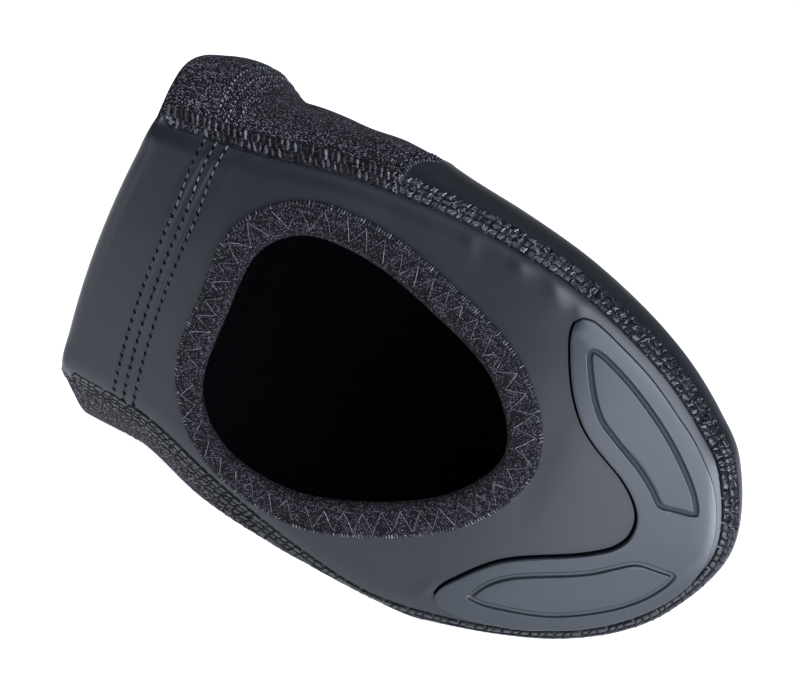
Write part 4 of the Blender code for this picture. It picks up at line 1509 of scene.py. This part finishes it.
# %% Threads of the binding
ZIGZAG_THREAD, ZIGZAG_STRAY, ZIGZAG_LIFT = 0.21, 0.35, 0.12
LOOP_THREAD, LOOP_PITCH, LOOP_LAP = 0.27, 0.75, 260
laps = int(round(HOLE.length / ZIGZAG_PITCH))
corners = np.arange(4 * laps + 1)
edge, edge_out = HOLE.at(corners * HOLE.length / (4 * laps) % HOLE.length)
ins, outs = (base + LOT.uniform(-ZIGZAG_STRAY, ZIGZAG_STRAY, len(corners))
             for base in (ZIGZAG_IN, ZIGZAG_OUT))
reach = np.choose(corners % 4, (ins, (ins + outs) / 2, outs, (ins + outs) / 2))
reach = (reach * tape_share(edge_out))[:, None]
points = on_tread(edge + edge_out * reach, np.full(len(corners), TAPE + GAP + ZIGZAG_LIFT))
facing = tread_normal(edge + edge_out * reach)
light_leg = np.arange(4 * laps) % 4 < 2
# Painted sheen: one leg in two is paler
shade = np.where(light_leg, LOT.uniform(0.12, 0.42, 4 * laps), LOT.uniform(0.06, 0.30, 4 * laps))
zigzag = sew("binding_zigzag", points[:-1], points[1:], facing[:-1] + facing[1:], ZIGZAG_THREAD, shade, 0.1,
             seed=41)

turns = np.arange(0, HOLE.length, LOOP_PITCH * HOLE.length / LOOP_LAP)
edge, edge_out = HOLE.at(turns)
brim = TAPE_WIDTH * tape_share(edge_out)[:, None]
first = on_tread(edge + edge_out * (brim - 0.6), np.full(len(turns), GAP + TAPE))
second = on_tread(edge + edge_out * (brim + 0.25), np.full(len(turns), GAP + 0.45))
facing = tread_normal(edge + edge_out * brim)
shade = 0.04 + 0.5 * LOT.uniform(0, 1, len(turns)) ** 2
edge_loops = sew("binding_edge_loops", first, second, facing, LOOP_THREAD, shade, 0.3, uneven=0.2, seed=42)
print("zigzag:", laps, "laps; edge loops:", len(turns))

# %% [markdown]
# The toe panel's cut edge is covered by overlock, short slanted threads over the step, and two more
# dotted rows hold it down behind on the knit.  All three follow the same cut line, each at its own
# distance.

# %% Threads of the toe panel's edge
EDGE_ROWS = (("overlock", -0.3, 1.2), ("row_near", 1.7, 2.4), ("row_far", 4.1, 2.4))
OVERLOCK_HALF, OVERLOCK_SLANT, OVERLOCK_LIFT, OVERLOCK_THREAD = 0.75, 0.9, 0.34, 0.42
EDGE_THREAD = 0.32

edge_threads = []
for side, side_name in SIDES:
    climbs = np.linspace(0.06, 1.99, 500)
    cut = panel_edge(climbs, side)
    for label, behind, pitch in EDGE_ROWS:
        path, normals = upper_row(cut - behind, side, climbs)
        if label == "overlock":
            at, along, facing = spaced(path, normals, pitch)
            aim = unit(along + OVERLOCK_SLANT * np.cross(facing, along)) * OVERLOCK_HALF
            over = at + facing * OVERLOCK_LIFT
            shade = LOT.uniform(0.15, 0.45, len(at))
            edge_threads.append(sew(f"toe_{label}_{side_name}", over - aim, over + aim, facing,
                                    OVERLOCK_THREAD, shade, 0.4, seed=50))
        else:
            edge_threads += dotted(f"toe_{label}_{side_name}", path, normals, pitch, lambda at: 0.30, 51,
                                   EDGE_THREAD)
print("toe panel edge rows:", len(edge_threads))

# %% [markdown]
# Each piece now rides on the one body, and the CAD solids that the pieces stand for are hidden but
# kept in the scene. The cloths stand for their CAD solids, which are hidden but stay in the
# simulation.

# %% Ties to the frame
in_slots = {
    "upper": [upper_knit, upper_vamp, *edge_threads, *hem_threads],
    "sole_panel": [sole, shade_line, *seam_beds, *seam_threads],
    "cleat_binding": [binding, zigzag, edge_loops],
    "toe_guard": [guard],
}
for slot_name, pieces in in_slots.items():
    for piece in pieces:
        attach(piece, "root")
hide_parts("upper")
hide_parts("upper")
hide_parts("sole_panel")
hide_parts("cleat_binding")
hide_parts("toe_guard")
print("pieces tied to the frame:", sum(len(pieces) for pieces in in_slots.values()))

# %% [markdown]
# The photograph has a white ground without shadows, as on a lit table, and large soft lights low in
# front: the satin sole mirrors the table and the boxes, while faces that look up stay dark.  One sky
# picture could light it all, but then no light could be moved alone.  So there is a glossy lit table
# that ends in front of the cover, where the sole would mirror too much of it, and nine softboxes.

# %% Lit table
floor_mesh = bpy.data.meshes.new("floor")
floor_mesh.from_pydata([(-3, -0.38, 0), (3, -0.38, 0), (3, 3, 0), (-3, 3, 0)], [], [(0, 1, 2, 3)])
acrylic, acrylic_tree, acrylic_shader = fresh_material("lit_white_acrylic")
feed(acrylic_tree, acrylic_shader, {"Base Color": linear("#b4b6ba"), "Roughness": 0.15, "IOR": 1.49,
                                    "Emission Color": linear("#f6f9ff"), "Emission Strength": 1.0})
floor_mesh.materials.append(acrylic)
floor = put("floor", floor_mesh)
floor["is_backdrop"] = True

world = bpy.data.worlds.new("studio")
bpy.context.scene.world = world
world.use_nodes = True
feed(world.node_tree, world.node_tree.nodes["Background"], {"Color": linear("#e8ebf0"), "Strength": 0.12})
print("table of", acrylic.name)


# %% Softboxes
def add_softbox(name, place, aim, size, power):
    light = bpy.data.lights.new(name, "AREA")
    light.shape = "RECTANGLE"
    light.size, light.size_y = size
    light.energy = power
    light.color = linear("#e8efff")[:3]
    lamp = put(name, light)
    lamp.location = place
    towards = np.array(aim) - np.array(place)
    lamp.rotation_euler = Vector(towards.tolist()).to_track_quat("-Z", "Y").to_euler()


# Place, aim, width and height in metres, power in watts
SOFTBOXES = {
    "key_right": ((0.66, -0.72, 0.34), (0.03, 0, 0.05), (1.06, 1.0), 15.6),
    "key_high": ((0.62, -0.53, 0.47), (0.03, 0, 0.05), (0.5, 0.4), 1.2),
    "side_right": ((1.0, -0.15, 0.16), (0.05, 0, 0.05), (0.5, 0.32), 6.0),
    "front_top": ((-0.05, -0.85, 0.95), (0, 0, 0.05), (0.9, 0.35), 0.9),
    "overhead": ((0.1, 0.02, 1.3), (0.05, 0, 0.05), (0.7, 0.5), 1.4),
    "front_card": ((0.0, -1.2, 0.1), (0, 0, 0.05), (0.7, 0.30), 0.2),
    "fill_left": ((-0.7, -0.7, 0.12), (-0.03, 0, 0.05), (0.4, 0.24), 0.6),
    "top_left": ((-0.6, 0.1, 1.0), (-0.05, 0, 0.07), (0.5, 0.5), 5.0),
    "back": ((0.0, 1.0, 0.9), (0, 0, 0.05), (1.0, 0.6), 0.5),
}
for box_name, settings in SOFTBOXES.items():
    add_softbox(box_name, *settings)
bpy.context.scene.view_settings.view_transform = "Standard"
print("softboxes:", len(SOFTBOXES))

# %% [markdown]
# The photograph looks almost square at the sole, through a long lens, with the cover rolled in the
# picture.  A camera could be turned by hand until it fits.  Here it is placed on the last's own axes
# instead, from two small angles and a roll, so it keeps its view of the sole however the cover lies.

# %% Camera
CAMERA_FAR, CAMERA_LENS, SENSOR = 900.0, 168.75, 36.0
CAMERA_LAT, CAMERA_AX, CAMERA_ROLL = np.radians([16.0, 4.0, 23.3])
CAMERA_AIM = np.array([76.315, -7.058, 0.0])

towards = np.array([np.sin(CAMERA_AX), -np.sin(CAMERA_LAT) * np.cos(CAMERA_AX),
                    -np.cos(CAMERA_LAT) * np.cos(CAMERA_AX)])
level = unit(np.array([1.0, 0, 0]) - towards[0] * towards)
across = np.cross(towards, level)
right = np.cos(CAMERA_ROLL) * level + np.sin(CAMERA_ROLL) * across
upright = -np.sin(CAMERA_ROLL) * level + np.cos(CAMERA_ROLL) * across
lens = bpy.data.cameras.new("camera")
lens.lens = CAMERA_LENS
lens.sensor_width = SENSOR
lens.sensor_fit = "HORIZONTAL"
lens.clip_start = 0.05
camera = put("camera", lens)
axes = np.stack([right, upright, towards]) @ REST_AXES
eye = ((CAMERA_AIM + towards * CAMERA_FAR) @ REST_AXES + LAST_ORIGIN) * MM
camera.matrix_world = Matrix.LocRotScale(Vector(eye.tolist()), Matrix(axes.T.tolist()), None)
bpy.context.scene.camera = camera
print("camera at", eye.round(3))

# %% [markdown]
# Last, the box of the visual model is printed in millimetres, so that a slip of scale or place shows
# at once.

# %% Sizes and finish
low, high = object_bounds()
print("visual box in mm:", [round((b - a) / MM, 1) for a, b in zip(low, high)])
